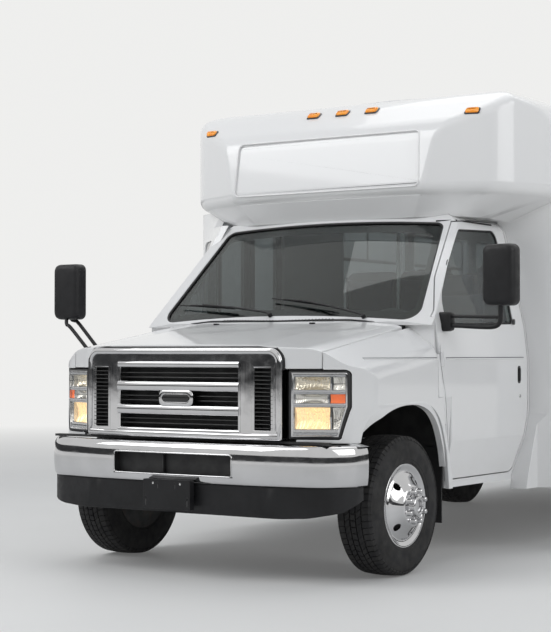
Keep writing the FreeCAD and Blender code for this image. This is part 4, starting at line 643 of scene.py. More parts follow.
def make_finishes(c):
    """Every material of the minibus."""
    soft = {"bottom": 0.2, "top": 0.8}
    paint = Finish("gloss_paint", c.body, 0.28, coat_weight=0.7, coat_roughness=0.05)
    paint.tint(lighter(c.body, 0.985), "noise", 0.7, 1.0, **soft)
    paint.rough(0.275, 0.29, "noise", 1.1, 1.0, bottom=0.1, top=0.9)
    # the paint turns a darker, warmer grey in patches towards the ground
    paint.tint((0.60, 0.58, 0.54), "darker_low_patches", share=0.16).relief(0.25, 0.004, "noise", 2.2, 1.0, **soft)
    cab = Finish("cab_paint", lighter(c.body, 0.98), 0.30, coat_weight=0.6, coat_roughness=0.06)
    cab.tint(lighter(c.body, 0.96), "noise", 0.8, 1.0, **soft).relief(0.2, 0.004, "noise", 3.0, 1.0, **soft)
    chrome = Finish("bright_chrome", c.chrome, 0.07, 1.0)
    chrome.rough(0.04, 0.11, "noise", 18.0, 6.0).tint(lighter(c.chrome, 0.92), "noise", 6.0)
    glass = Finish("cab_glass", c.glass, 0.0, transmission_weight=1.0, ior=1.45)
    glass.rough(0.0, 0.02, "noise", 7.0).tint(lighter(c.glass, 0.94), "noise", 2.5)
    dark = Finish("dark_glass", c.dark_glass, 0.0, transmission_weight=1.0, ior=1.48)
    dark.rough(0.0, 0.03, "noise", 5.0).tint(lighter(c.dark_glass, 0.85), "noise", 1.2)
    border = Finish("glass_border", (0.006, 0.006, 0.007), 0.35)
    border.rough(0.28, 0.42, "noise", 60.0).relief(0.05, 0.0003, "cells", 900.0)
    lens = Finish("lamp_lens", (0.95, 0.96, 0.96), 0.02, transmission_weight=1.0, ior=1.38)
    lens.rough(0.01, 0.06, "noise", 30.0).relief(0.05, 0.0006, "noise", 90.0, 1.0)
    bowl = Finish("lamp_bowl", (0.90, 0.87, 0.80), 0.12, 1.0)
    bowl.relief(0.55, 0.003, "waves", 34.0).rough(0.08, 0.2, "noise", 40.0)
    facet = Finish("lamp_facets", (0.92, 0.84, 0.68), 0.14, 1.0)
    facet.relief(0.6, 0.004, "cells", 95.0).rough(0.08, 0.22, "noise", 40.0)
    # painted glow: the lower fluted bowl emits warm light of its own, standing for light reflected in it
    glow = Finish("bowl_painted_glow", (0.90, 0.74, 0.50), 0.3, 0.5, emission_color=(1.0, 0.66, 0.30, 1.0),
                  emission_strength=0.75)
    glow.rough(0.2, 0.4, "noise", 50.0).relief(0.6, 0.004, "waves", 14.0)
    cover = Finish("lamp_cover", (0.40, 0.42, 0.43), 0.03, alpha=0.10, ior=1.5)
    cover.rough(0.02, 0.06, "noise", 30.0)
    # painted glow: the amber reflector emits light of its own, standing for an orange glint
    amber_back = Finish("amber_painted_glow", (1.0, 0.19, 0.01), 0.22, 0.25,
                        emission_color=(1.0, 0.16, 0.01, 1.0), emission_strength=0.35)
    amber_back.relief(0.5, 0.002, "cells", 140.0)
    reverse = Finish("clear_reverse", (0.80, 0.81, 0.82), 0.15, coat_weight=0.5)
    reverse.relief(0.5, 0.002, "cells", 85.0).tint((0.66, 0.67, 0.68), "noise", 40.0)
    amber = Finish("amber_lens", c.amber, 0.12, transmission_weight=0.35, emission_color=(*c.amber, 1.0),
                   emission_strength=0.35)
    amber.relief(0.5, 0.002, "waves", 60.0).tint((1.0, 0.50, 0.06), "noise", 45.0)
    red = Finish("red_lens", c.red, 0.12, transmission_weight=0.3, emission_color=(*c.red, 1.0),
                 emission_strength=0.15)
    red.relief(0.5, 0.002, "cells", 85.0).tint((0.75, 0.03, 0.02), "noise", 45.0)
    plastic = Finish("grained_plastic", c.plastic, 0.48, specular_ior_level=0.28)
    plastic.relief(0.18, 0.0005, "cells", 650.0).rough(0.38, 0.56, "noise", 30.0)
    plastic.tint(lighter(c.plastic, 1.5), "noise", 6.0)
    black = Finish("gloss_black", (0.010, 0.010, 0.011), 0.18, coat_weight=0.4, coat_roughness=0.06)
    black.rough(0.14, 0.26, "noise", 14.0).relief(0.03, 0.0004, "noise", 300.0)
    insert = Finish("dark_insert", (0.010, 0.010, 0.011), 0.62)
    insert.relief(0.1, 0.0004, "noise", 400.0).tint((0.03, 0.03, 0.03), "noise", 12.0)
    rubber = Finish("seal_rubber", (0.016, 0.016, 0.017), 0.66)
    rubber.relief(0.14, 0.0004, "noise", 500.0).rough(0.55, 0.75, "noise", 25.0)
    tyre = Finish("tyre_rubber", c.tyre, 0.72, specular_ior_level=0.25)
    tyre.relief(0.22, 0.0006, "noise", 260.0).tint(lighter(c.tyre, 1.7), "noise", 8.0, 8.0)
    tyre.tint((0.10, 0.095, 0.085), "noise", 22.0, 8.0, share=0.18).rough(0.6, 0.82, "noise", 16.0)
    chassis = Finish("frame_paint", (0.022, 0.022, 0.023), 0.5)
    chassis.tint((0.075, 0.05, 0.035), "noise", 14.0, 8.0, bottom=0.5, top=0.75, share=0.5)
    chassis.relief(0.16, 0.0006, "noise", 180.0).rough(0.42, 0.66, "noise", 20.0)
    cast = Finish("cast_metal", (0.13, 0.13, 0.13), 0.62, 0.8)
    cast.relief(0.4, 0.0012, "noise", 150.0, 8.0).tint((0.07, 0.055, 0.045), "noise", 7.0, 8.0)
    steel = Finish("dull_steel", (0.30, 0.30, 0.30), 0.42, 0.95)
    steel.rough(0.32, 0.56, "noise", 12.0, 8.0, (0.2, 1, 1)).tint((0.17, 0.13, 0.10), "noise", 4.0, 8.0)
    alloy = Finish("black_alloy", (0.020, 0.020, 0.021), 0.36, 0.5)
    alloy.rough(0.3, 0.44, "noise", 70.0, 3.0, (1, 1, 0.05)).relief(0.04, 0.0003, "noise", 300.0)
    mirror = Finish("mirror_glass", (0.86, 0.87, 0.88), 0.02, 1.0)
    mirror.rough(0.01, 0.04, "noise", 20.0).tint((0.80, 0.82, 0.84), "noise", 3.0)
    grey = Finish("moulded_grey", (0.13, 0.13, 0.14), 0.6)
    grey.relief(0.2, 0.0005, "cells", 500.0).tint((0.17, 0.17, 0.18), "noise", 5.0)
    vinyl = Finish("floor_vinyl", (0.17, 0.175, 0.18), 0.55)
    vinyl.tint((0.30, 0.30, 0.30), "noise", 240.0, 2.0, bottom=0.6, top=0.7).relief(0.2, 0.001, "waves", 60.0)
    cloth = Finish("seat_cloth", c.seat, 0.85, sheen_weight=0.35)
    cloth.tint(lighter(c.seat, 2.4), "waves", 180.0, share=0.5)
    cloth.tint((0.20, 0.10, 0.06), "noise", 70.0, 2.0, bottom=0.62, top=0.68, share=0.6)
    cloth.relief(0.35, 0.0008, "waves", 180.0).relief(0.35, 0.0008, "waves", 180.0, "Z")
    bright = Finish("brushed_bright", (0.62, 0.62, 0.62), 0.24, 1.0)
    bright.rough(0.16, 0.34, "noise", 120.0, 3.0, (1, 1, 0.04))


# What each CAD node that stays is made of

NODE_FINISHES = {
    "gloss_paint": (
        "fenders", "front_cap", "kerb_panel", "side_wall_left", "side_wall_right", "roof", "rear_wall",
        "hood", "driver_door", "rear_door",
    ),
    "cab_paint": ("cab_shell",),
    "cab_glass": ("windscreen", "driver_door_glass"),
    "dark_glass": ("body_windows", "rear_door_glass", "entry_glass_front", "entry_glass_rear"),
    "lamp_lens": ("headlamps",),
    "amber_lens": ("marker_lamps",),
    "red_lens": ("tail_lamps",),
    "grained_plastic": (
        "cowl", "bumper_valance", "plate_bracket", "wipers", "driver_mirror", "kerb_mirror",
        "driver_door_handle",
    ),
    "bright_chrome": (
        "grille", "front_bumper", "wheel_front_left", "wheel_front_right", "wheels_rear_left",
        "wheels_rear_right",
    ),
    "dark_insert": ("grille_insert", "radiator_support", "wheelhouses"),
    "floor_vinyl": ("floor", "entry_steps"),
    "frame_paint": (
        "chassis_frame", "front_axle", "rear_axle", "leaf_springs", "knuckle_left", "knuckle_right",
        "rear_bumper",
    ),
    "cast_metal": ("engine",),
    "dull_steel": ("fuel_tank", "exhaust"),
    "seal_rubber": ("mud_flaps",),
    "black_alloy": ("entry_leaf_front", "entry_leaf_rear"),
    "moulded_grey": ("dashboard", "steering_wheel"),
    "seat_cloth": ("seats",),
    "tyre_rubber": ("tyre_front_left", "tyre_front_right", "tyres_rear_left", "tyres_rear_right"),
}


class MINIBUS_OT_paint(bpy.types.Operator):
    """Make the materials and give them to the CAD nodes"""

    bl_idname = "minibus.paint"
    bl_label = "Paint the frame"

    def execute(self, context):
        make_finishes(context.scene.minibus_colours)
        for finish, nodes in NODE_FINISHES.items():
            for name in nodes:
                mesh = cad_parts[name].data
                mesh.materials.clear()
                mesh.materials.append(FINISHES[finish])
        GROWTHS.update(tube=tube_growth(), ring=ring_growth(), rows=rows_growth())
        return {"FINISHED"}


# Windscreen: its curved face as (x, distance up the slope), in millimetres

GLASS_FOOT = Vector((0, 250.0, 1370.0))
GLASS_HEAD = Vector((0, 852.0, 1985.0))
GLASS_BOW = 7600.0
GLASS_OUTLINE = [(896, 30, 95), (764, 832, 60)]
BORDER_OUTLINE = [(842, 100, 70), (720, 752, 44)]
DOOR_WINDOW = [
    (466, 1330, 40), (466, 1490, 160), (640, 1692, 400), (850, 1893, 50), (1325, 1912, 60), (1342, 1780, 300),
    (1318, 1350, 40),
]
# the rear wall's outer face, half of the body's width, and from one side window to the next
REAR_STATION = 6200.0
HALF_BODY = 1240.0
WINDOW_PITCH = 1080


def on_glass(x, up, off=0.0):
    """A point on the cab's face at the windscreen, raised from it by off millimetres."""
    along = (GLASS_HEAD - GLASS_FOOT).normalized()
    outward = Vector((0, -along.z, along.y))
    sag = GLASS_BOW - math.sqrt(GLASS_BOW * GLASS_BOW - x * x)
    point = GLASS_FOOT + along * up + outward * (off - sag)
    return spot(x, point.y, point.z)


def window_places():
    """Each group of panes: its name, its outlines, how they stand in space, and its body."""
    left = [pane(1760 + i * WINDOW_PITCH, 2740 + i * WINDOW_PITCH, 1330, 2130, 60) for i in range(4)]
    rear = [pane(x0, x0 + 500, 1400, 2080, 60) for x0 in (-1060, 560)]
    door = [pane(-300, 300, 1400, 2120, 50)]
    return [
        ("window_seal_left", left, lambda p: spot(HALF_BODY - 5, p.x, p.y), BODY),
        ("window_seal_right", left[1:], lambda p: spot(5 - HALF_BODY, p.x, p.y), BODY),
        ("window_seal_rear", rear, lambda p: spot(p.x, REAR_STATION - 13, p.y), BODY),
        ("window_seal_rear_door", door, lambda p: spot(p.x, REAR_STATION - 13, p.y), "rear_door"),
    ]


class MINIBUS_OT_glazing(bpy.types.Operator):
    """The windscreen's border and the seals of every fixed pane"""

    bl_idname = "minibus.glazing"
    bl_label = "Glazing"

    def execute(self, context):
        seal = context.scene.minibus_sizes.seal
        outer = rounded(grown(mirrored(GLASS_OUTLINE), -1), 8, 24)
        inner = rounded(mirrored(BORDER_OUTLINE), 8, 24)
        ring = band("windscreen_border", [[on_glass(p.x, p.y, -18.6) for p in o] for o in (outer, inner)])
        settled(ring, "glass_border", crisp=32)
        edge = [on_glass(p.x, p.y, -7.5) for p in rounded(grown(mirrored(GLASS_OUTLINE), -5.5), 8, 24)]
        tube("windscreen_seal", edge, seal - 0.0005, "seal_rubber", closed=True, sides=8)
        edge = rounded(grown(DOOR_WINDOW, -5), 8, 6)
        line = [from_left(p.x, p.y, "driver_door_glass", lift=0.001) for p in edge]
        tube("door_glass_seal", line, seal, "seal_rubber", "driver_door", closed=True, sides=8)
        for name, boxes, to_space, body in window_places():
            for number, corners in enumerate(boxes):
                line = [to_space(p) for p in rounded(grown(corners, -6), 8)]
                tube(f"{name}_{number}", line, seal + 0.003, "seal_rubber", body, closed=True, sides=8)
        return {"FINISHED"}


# Wheels and tyres. A profile's points are (x, radius), with x outwards from the wheel's middle

TYRE_SIDE = [
    (84, 203), (92, 204), (98, 209), (102, 222), (104, 230), (106.2, 232), (107.4, 246), (109.2, 248),
    (109.8, 262), (111.2, 276), (111.4, 296), (109.9, 312), (108.9, 315), (108.6, 319), (106.6, 330),
    (103, 341), (98, 350),
]
TYRE_RADIUS = 372.2
TREAD_RIBS = (
    # inner and outer x of each rib, its radius at both, and how far its blocks lean
    (-13.5, 13.5, TYRE_RADIUS, TYRE_RADIUS, 0.0),
    (20.5, 47.5, 372.0, 371.0, 0.35),
    (-47.5, -20.5, 371.0, 372.0, 0.35),
)
# how much of a pitch a block of tread fills
BLOCK_SHARE = 0.86
NUT = [
    (0, 0.1), (0, 18), (3, 18.2), (5, 16), (8, 14.8), (26, 13.6), (31, 11.5), (34, 7.5), (35.2, 3.5),
    (35.4, 0.1),
]
FRONT_COVER = [
    (60, 196), (84, 203), (95, 214), (98, 221), (101, 222.5), (103, 220.5), (103, 214), (99, 206), (94, 198),
    (90.5, 190), (90.5, 183), (94, 177), (98.5, 173.5), (100, 171), (103, 163), (111, 151), (122, 137.5),
    (133, 125.5), (142, 117), (150, 110.5), (155.5, 105), (157, 101), (157, 97.5), (155.5, 95), (155.5, 62),
    (156.5, 59), (160, 57), (178, 54), (185, 51.5), (188.5, 47), (189.5, 42), (189, 38), (186, 35.5),
    (180, 34.5), (176, 33), (176, 0.1),
]
REAR_COVER = [
    (150, 196), (214, 203), (225, 214), (228, 221), (231, 222.5), (233, 220.5), (233, 214), (229, 206),
    (223, 197), (216, 188), (204, 181), (176, 176), (130, 170), (96, 162), (70, 151), (50, 137), (41, 124),
    (38, 112), (37, 101), (37, 70), (40, 63), (52, 60), (120, 57), (152, 55), (160, 51), (163.5, 44),
    (164, 36), (163, 20), (163, 0.1),
]
# radii of the circles of nuts and of hand holes, in metres
NUT_CIRCLE = 0.08255
HOLE_CIRCLE = 0.150


def tread_block(x0, x1, r0, r1, base, turn0, turn1, lean):
    """Eight corners of one block of tread, about the X axis, in millimetres and radians."""
    points = []
    for x, r, shift in ((x0, r0, -lean), (x1, r1, lean)):
        for radius in (base, r):
            for turn in (turn0, turn1):
                a = turn + shift * (turn1 - turn0)
                points.append(Vector((x * MM, radius * MM * math.sin(a), radius * MM * math.cos(a))))
    faces = [(0, 2, 3, 1), (4, 5, 7, 6), (0, 4, 6, 2), (1, 3, 7, 5), (2, 6, 7, 3), (0, 1, 5, 4)]
    return points, faces


def make_tyre(name, centre, sizes, body, replaces=()):
    base = TYRE_RADIUS - sizes.tread_depth / MM
    half = [*TYRE_SIDE, (92, base - 3), (84, base)]
    profile = half + [(-x, r) for x, r in reversed(half)]
    carcass = turned(name + "_carcass", profile, centre, closed=True)
    pitch = 2 * math.pi / sizes.tread_pitches
    points, faces = [], []
    shoulders = []
    for side in (-1, 1):
        shoulders.append((side * 54, side * 91, 370.4, 367.0, 0.1 * side))
        shoulders.append((side * 91, side * 103, 367.0, 352.0, 0.0))
    for number, (x0, x1, r0, r1, lean) in enumerate((*TREAD_RIBS, *shoulders)):
        low = base - 2 if abs(x1) < 100 else 346
        start = 0.5 * pitch * (number % 2 if number < len(TREAD_RIBS) else 0)
        spots, sides = tread_block(x0, x1, r0, r1, low, start, start + pitch * BLOCK_SHARE, lean)
        faces += [[i + len(points) for i in side] for side in sides]
        points += spots
    tread = tidied(meshed(name + "_tread", points, faces))
    grow(tread, "ring", "tyre_rubber", Count=sizes.tread_pitches, Centre=centre)
    settled(together(name, [carcass, tread]), "tyre_rubber", body, replaces, crisp=28)


def make_cover(name, profile, centre, sign, sizes, nut_face, wheel, holes=False):
    """A plated wheel cover with its nut covers, as one piece."""
    back = [(a - 4, r) for a, r in reversed(profile[1:])]
    shell = turned(name + "_shell", [(sign * a, r) for a, r in profile + back[:-1]], centre, closed=True)
    if holes:
        bore = [(sign * a, r) for a, r in ((70, 0.1), (70, 20), (175, 20), (175, 0.1))]
        drill = turned(name + "_drill", bore, Vector((0, 0, HOLE_CIRCLE)), 24)
        grow(drill, "ring", "bright_chrome", Count=4, First_Turn=math.radians(45), Centre=centre)
        combined(shell, "DIFFERENCE", [tidied(drill)])
    nut = turned(name + "_nut", [(sign * (nut_face + a), r) for a, r in NUT], Vector((0, 0, NUT_CIRCLE)), 20)
    grow(nut, "ring", "bright_chrome", Count=sizes.lug_nuts, First_Turn=math.radians(22.5), Centre=centre)
    settled(together(name, [shell, nut]), "bright_chrome", wheel, [wheel], crisp=30, slot="wheel_chrome")


def make_rim(name, centre, sign, a0, a1, face, bore):
    """The steel rim inside a tyre, with the disc that shows through the hand holes."""
    profile = [
        (a0, bore), (a0, 195), (a0 - 4, 219), (a0 + 4, 219), (a0 + 16, 203), (a0 + 50, 188),
        (a1 - 50, 188), (a1 - 16, 202), (a1 - 8, 200), (face + 14, 150), (face + 8, bore + 12),
        (face + 8, bore), (face - 8, bore), (face - 8, bore + 8), (face, 150), (a1 - 34, 178),
        (a0 + 60, 178), (a0 + 16, 190), (a0 + 12, bore + 5),
    ]
    return turned(name, [(sign * a, r) for a, r in profile], centre, 64, closed=True)


class MINIBUS_OT_wheels(bpy.types.Operator):
    """Tyres with their tread, plated covers, nut covers and the rims behind them"""

    bl_idname = "minibus.wheels"
    bl_label = "Wheels and tyres"

    def execute(self, context):
        sizes = context.scene.minibus_sizes
        for sign, word in ((1, "left"), (-1, "right")):
            front = Vector((sign * 0.881, FRONT_AXLE, AXLE_HEIGHT))
            wheel = "wheel_front_" + word
            make_tyre("tyre_dressed_front_" + word, front, sizes, wheel, ["tyre_front_" + word])
            make_cover("wheel_cover_front_" + word, FRONT_COVER, front, sign, sizes, 155, wheel, True)
            rim = make_rim("rim_front_" + word, front, sign, -98, 96, 60, 30)
            settled(rim, "frame_paint", wheel, crisp=32, slot="dark_steel")
            rear = Vector((sign * 0.950, REAR_AXLE, AXLE_HEIGHT))
            wheel = "wheels_rear_" + word
            for shift, place, old in ((0.130, "outer", ["tyres_rear_" + word]), (-0.130, "inner", [])):
                middle = rear + Vector((sign * shift, 0, 0))
                make_tyre(f"tyre_dressed_rear_{place}_{word}", middle, sizes, wheel, old)
            make_cover("wheel_cover_rear_" + word, REAR_COVER, rear, sign, sizes, 33, wheel)
            outer = make_rim("rim_rear_outer_" + word, rear, sign, 30, 224, 20, 36)
            inner = make_rim("rim_rear_inner_" + word, rear, sign, -228, -34, -12, 36)
            rims = together("rims_rear_" + word, [outer, inner])
            settled(rims, "frame_paint", wheel, crisp=32, slot="dark_steel")
        return {"FINISHED"}


# Mirrors. Each head has two panes of glass: the heights of their edges from its middle

MIRROR_PANES = (("", -81, 152), ("_low", -152, -89))
MIRROR_WIDE = 190
MIRROR_HIGH = 335
MIRROR_DEEP = 95


def mirror_head(name, x, station, height, body):
    """A hollow crowned shell, open where its glass sits, with its panes, in place of a CAD node."""
    half = MIRROR_DEEP / 2
    steps = (
        # depth, inset and corner radius of each outline of the shell, from its crown to inside its mouth
        (-half, 34, 30), (-half + 2, 22, 32), (-half + 7, 12, 36), (-half + 16, 5, 38),
        (-half + 32, 1, 38), (0, 0, 38), (half - 8, 0, 36), (half - 2, 2, 34), (half, 6, 30),
        (half - 1, 10, 26), (half - 14, 12, 24),
    )
    loops = []
    for depth, inset, radius in steps:
        u, v = MIRROR_WIDE / 2 - inset, MIRROR_HIGH / 2 - inset
        outline = rounded(pane(-u, u, -v, v, radius))
        loops.append([spot(x + p.x, station + depth, height + p.y) for p in outline])
    shell = band(name + "_head", loops, caps=True)
    with opened(shell) as work:
        bmesh.ops.recalc_face_normals(work, faces=work.faces)
    settled(shell, "grained_plastic", body, [name])
    for label, low, high in MIRROR_PANES:
        corners = pane(x - 82, x + 82, height + low, height + high, 24)
        glass = front_plate(name + "_glass" + label, corners, station + 33.4, station + 36)
        settled(glass, "mirror_glass", body, crisp=32)


def door_mirror():
    """The mirror on the driver's door, with its arm, its strut and its foot."""
    x, station = 1330, 434
    mirror_head("driver_mirror", x, station, 1602, "driver_door")
    for name, radius, line in (
        ("driver_mirror_arm", 0.013, ((1000, 1330), (1080, 1328), (1210, 1321), (1292, 1322), (1325, 1345),
                                      (x, 1392), (x, 1440))),
        ("driver_mirror_strut", 0.009, ((1000, 1383), (1120, 1378), (1240, 1374), (1324, 1372))),
    ):
        bar = smoothed([spot(u, station, height) for u, height in line])
        tube(name, bar, radius, "grained_plastic", "driver_door")
    foot = rounded(pane(402, 474, 1298, 1404, 14), 5)
    middle = Vector((437, 1351))
    loops = [[from_left(p.x, p.y, "driver_door", "driver_door_glass", lift=0.0003) for p in foot]]
    for out, wide, high in ((1012, 1, 1), (1030, 0.86, 0.9), (1036, 0.66, 0.8)):
        loops.append([spot(out, middle.x + (p.x - middle.x) * wide, middle.y + (p.y - middle.y) * high)
                      for p in foot])
    settled(tidied(band("driver_mirror_foot", loops, caps=True)), "grained_plastic", "driver_door")


def fender_mirror():
    """The mirror on the right fender, on two bars that stand on one foot."""
    x, station, height = -1330, -30, 1548
    mirror_head("kerb_mirror", x, station, height, BODY)
    low = height - MIRROR_HIGH / 2
    for number, (shift, lift) in enumerate(((-35, 0), (35, 30))):
        y = station + shift
        line = [
            (-1012, y, 1060 + lift), (-1030, y, 1072 + lift), (-1150, y, 1196 + lift * 0.9),
            (-1285, y, low - 52 + lift), (-1318, y, low - 30 + lift * 0.8), (x, y - shift * 0.3, low),
            (x, y - shift * 0.4, low + 20),
        ]
        tube(f"kerb_mirror_bar_{number}", smoothed([spot(*p) for p in line]), 0.011, "grained_plastic")
    foot = block("kerb_mirror_foot", -1027, -1005.3, station - 60, station + 60, 1030, 1110, 6)
    settled(foot, "grained_plastic")


class MINIBUS_OT_mirrors(bpy.types.Operator):
    """The door's mirror and the one on the other fender, with their arms"""

    bl_idname = "minibus.mirrors"
    bl_label = "Mirrors"

    def execute(self, context):
        door_mirror()
        fender_mirror()
        return {"FINISHED"}


# The lamps

LAMP = [(664, 742), (900, 742, 12), (938, 905, 10), (938, 1090, 22), (664, 1090, 10)]
# low, high, inner x, outer x, finish, pitch of the flutes in mm, their depth, depth of the bowl
LAMP_CELLS = (
    (990, 1058, 686, 850, "lamp_facets", 14.0, 4.5, 26),
    (990, 1058, 858, 926, "lamp_bowl", 8.0, 1.5, 14),
    (922, 970, 686, 840, "lamp_bowl", 9.0, 2.0, 18),
    # this amber cell carries a painted glow
    (922, 970, 846, 926, "amber_painted_glow", 7.0, 2.0, 10),
    # this bowl carries a painted glow
    (790, 903, 686, 846, "bowl_painted_glow", 14.5, 6.0, 34),
    (790, 903, 856, 926, "lamp_bowl", 8.0, 1.5, 16),
)
LAMP_BARS = ((1058, 1072), (970, 990), (903, 922), (752, 790))
# the rings round a lamp: finish, and the steps of its section as (inset, depth)
LAMP_RINGS = {
    "seal_rubber": ((1, 6), (1, 1), (3, -0.5), (9, -0.5), (11, 3), (11, 9), (1, 9), (1, 6)),
    "bright_chrome": ((11, 8), (11, 2), (13, 1), (17, 1), (20, 5), (24, 30), (11, 30), (11, 8)),
    "gloss_black": ((2, 9), (2, 70), (12, 84), (14, 84), (14, 82), (4, 68), (4, 9), (2, 9)),
}


def lamp_edge(height):
    """The lamp's outer x at a height."""
    return 938 if height > 905 else 900 + 38 * (height - 742) / 163


def on_lens(x, height, depth=0.0):
    return from_front(x, height, "headlamps") + Vector((0, depth * MM, 0))


def lamp_sheet(low, high, x0, x1, depth, columns, rows):
    """A sheet that follows the lens, set back by depth(u, v), where u and v run from 0 to 1."""
    points = []
    for j in range(rows + 1):
        height = low + (high - low) * j / rows
        edge = min(x1, lamp_edge(height) - 13)
        for i in range(columns + 1):
            points.append(on_lens(x0 + (edge - x0) * i / columns, height, depth(i / columns, j / rows)))
    return meshed("sheet", points, lattice(rows + 1, columns + 1, closed=False))


def lamp_ring(steps):
    """A ring that follows the lens. Steps are (inset, depth)."""
    loops = []
    for inset, depth in steps:
        outline = rounded(grown(LAMP, -inset), 6, 10)
        loops.append([on_lens(min(p.x, lamp_edge(p.y) - 1), p.y, depth) for p in outline])
    return tidied(band("ring", loops))


def headlamps():
    """Both headlamps: rings, a housing, fluted bowls with walls and bars between them, and a clear cover."""
    pieces = {}

    def add(piece, finish, depth=0.0):
        if depth:
            thickened(piece, depth)
        pieces.setdefault(finish, []).extend((piece, across(piece)))

    for finish, steps in LAMP_RINGS.items():
        add(lamp_ring(steps), finish)
    add(lamp_sheet(748, 1084, 670, 934, lambda u, v: 82, 12, 12), "gloss_black", 0.002)
    for low, high, x0, x1, finish, pitch, flute, bowl in LAMP_CELLS:
        count = max(8, round((x1 - x0) / pitch)) * 6

        def depth(u, v, x0=x0, x1=x1, pitch=pitch, flute=flute, bowl=bowl):
            wave = flute * abs(math.sin(math.pi * u * (x1 - x0) / pitch))
            return 20 + bowl * (1 - (2 * v - 1) ** 2) * (0.35 + 0.65 * math.sin(math.pi * u)) + wave

        add(lamp_sheet(low + 2, high - 2, x0 + 2, x1 - 2, depth, count, 10), finish, 0.002)
        wall = lamp_sheet(low, high, x0 - 5, x0 + 2, lambda u, v: 7 + 2 * abs(2 * v - 1), 2, 6)
        add(wall, "bright_chrome", 0.026)
    for low, high in LAMP_BARS:
        bar = lamp_sheet(low, high, 682, 932, lambda u, v: 6 + 5 * (2 * v - 1) ** 2, 16, 4)
        add(bar, "bright_chrome", 0.024)
    add(lamp_sheet(754, 1080, 675, 938, lambda u, v: 1.2, 24, 16), "lamp_cover", 0.002)
    by_finish("headlamp", pieces, "headlamps", clear_crisp=60)


def marker_lamps():
    """Amber lenses on thin bases over the windscreen, red ones over the rear door."""
    pieces = {"amber_lens": [], "red_lens": [], "gloss_black": []}
    for x in (-930, -208, 0, 208, 930):
        height = 2576 if abs(x) > 500 else 2644
        for finish, half_w, half_h, steps in (
            ("gloss_black", 44, 19, ((0, -2), (0, 5), (3, 7))),
            ("amber_lens", 38, 14, ((0, 4), (0, 13), (3, 17), (8, 20))),
        ):
            loops = []
            for inset, lift in steps:
                u, v = half_w - inset, half_h - inset
                outline = rounded(pane(-u, u, -v, v, 9), 4, 3)
                ring = [from_front(x + p.x, height + p.y, "front_cap") for p in outline]
                normal = (ring[5] - ring[0]).cross(ring[len(ring) // 2] - ring[0]).normalized()
                if normal.y > 0:
                    normal = -normal
                loops.append([p + normal * lift * MM for p in ring])
            pieces[finish].append(tidied(band("marker", loops, caps=True)))
    for x in (-900, -208, 0, 208, 900):
        height = 2590 if abs(x) > 500 else 2640
        for finish, u, v, a0, a1 in (("gloss_black", 46, 16, -5.5, 4), ("red_lens", 40, 12, 3, 13.5)):
            corners = pane(x - u, x + u, height - v, height + v, 8)
            plate = front_plate("rear_marker", corners, REAR_STATION + a0, REAR_STATION + a1)
            pieces[finish].append(bevelled(plate, 0.003))
    by_finish("marker", pieces, "marker_lamps")


def tail_lamps():
    """Three round-cornered lamps a side, each a lens in a dark bezel."""
    pieces = {"red_lens": [], "amber_lens": [], "clear_reverse": [], "gloss_black": []}
    for x in (-1000, 1000):
        for z, finish in ((1180, "red_lens"), (1040, "amber_lens"), (900, "clear_reverse")):
            corners = pane(x - 85, x + 85, z - 55, z + 55, 30)
            rim = front_plate("rim", corners, REAR_STATION - 5.5, REAR_STATION + 8)
            pieces["gloss_black"].append(bevelled(rim, 0.004))
            corners = pane(x - 74, x + 74, z - 44, z + 44, 24)
            lens = front_plate("lens", corners, REAR_STATION + 6, REAR_STATION + 18)
            pieces[finish].append(bevelled(lens, 0.005, 3))
    by_finish("tail", pieces, "tail_lamps")


class MINIBUS_OT_lamps(bpy.types.Operator):
    """Headlamps in three rows behind a clear lens, marker lamps and tail lamps"""

    bl_idname = "minibus.lamps"
    bl_label = "Lamps"

    def execute(self, context):
        headlamps()
        marker_lamps()
        tail_lamps()
        return {"FINISHED"}


# The front: grille, bumper, valance, plate bracket, wipers and cowl

# height, and how far the bumper's face stands out there
BUMPER_ROLL = (
    (500, -16), (502, -9), (507, -4), (516, 0), (545, 4), (575, 6.5), (606, 7.5), (632, 7), (652, 5.5),
    (670, 3.5), (684, 0.5), (696, -5), (704, -11), (710, -19), (712, -26),
)
# the slot in the bumper, as half its width, its foot and its head
SLOT_HALF = 383
SLOT_FOOT = 545
SLOT_HEAD = 652
# from one gap of the grille to the next, its outer edge, and the middle of the slots beside the gaps
GAP_PITCH = 122
GRILLE_EDGE = [(622, 751), (622, 1188, 60), (-622, 1188, 60), (-622, 751)]
GRILLE_SLOT = 530.5
# the bars and posts between grille gaps: where each stands, half its width and how far it bulges
GRILLE_BARS = ((878.5, 25, 10), (1003.5, 25, 10), (1119, 15, 7), (768, 13, 6))
GRILLE_POSTS = ((436, 32, 8, range(764, 1125, 18)), (596, 9, 5, range(778, 1117, 13)))
BADGE = ((-8, 0.5), (-6, 5), (0, 8), (8, 8), (11, 4), (14, 4))


def grille_rib(name, line, half, bulge, closed=False):
    """A rib of round section along a line of (x, height) on the grille's face."""
    loops = []
    count = len(line)
    for i, here in enumerate(line):
        after = line[(i + 1) % count] if closed or i + 1 < count else here
        before = line[i - 1] if closed or i else here
        along = (after - before).normalized()
        side = Vector((-along.y, along.x))
        loop = []
        for k in range(9):
            turn = math.pi * k / 8
            p = here + side * (half * math.cos(turn))
            face = from_front(p.x, 1150, "grille")
            loop.append(Vector((face.x, face.y + (0.5 - bulge * math.sin(turn)) * MM, p.y * MM)))
        loop += [loop[8] + Vector((0, 0.002, 0)), loop[0] + Vector((0, 0.002, 0))]
        loops.append(loop)
    if closed:
        loops.append(loops[0])
    return tidied(band(name, loops, caps=not closed))


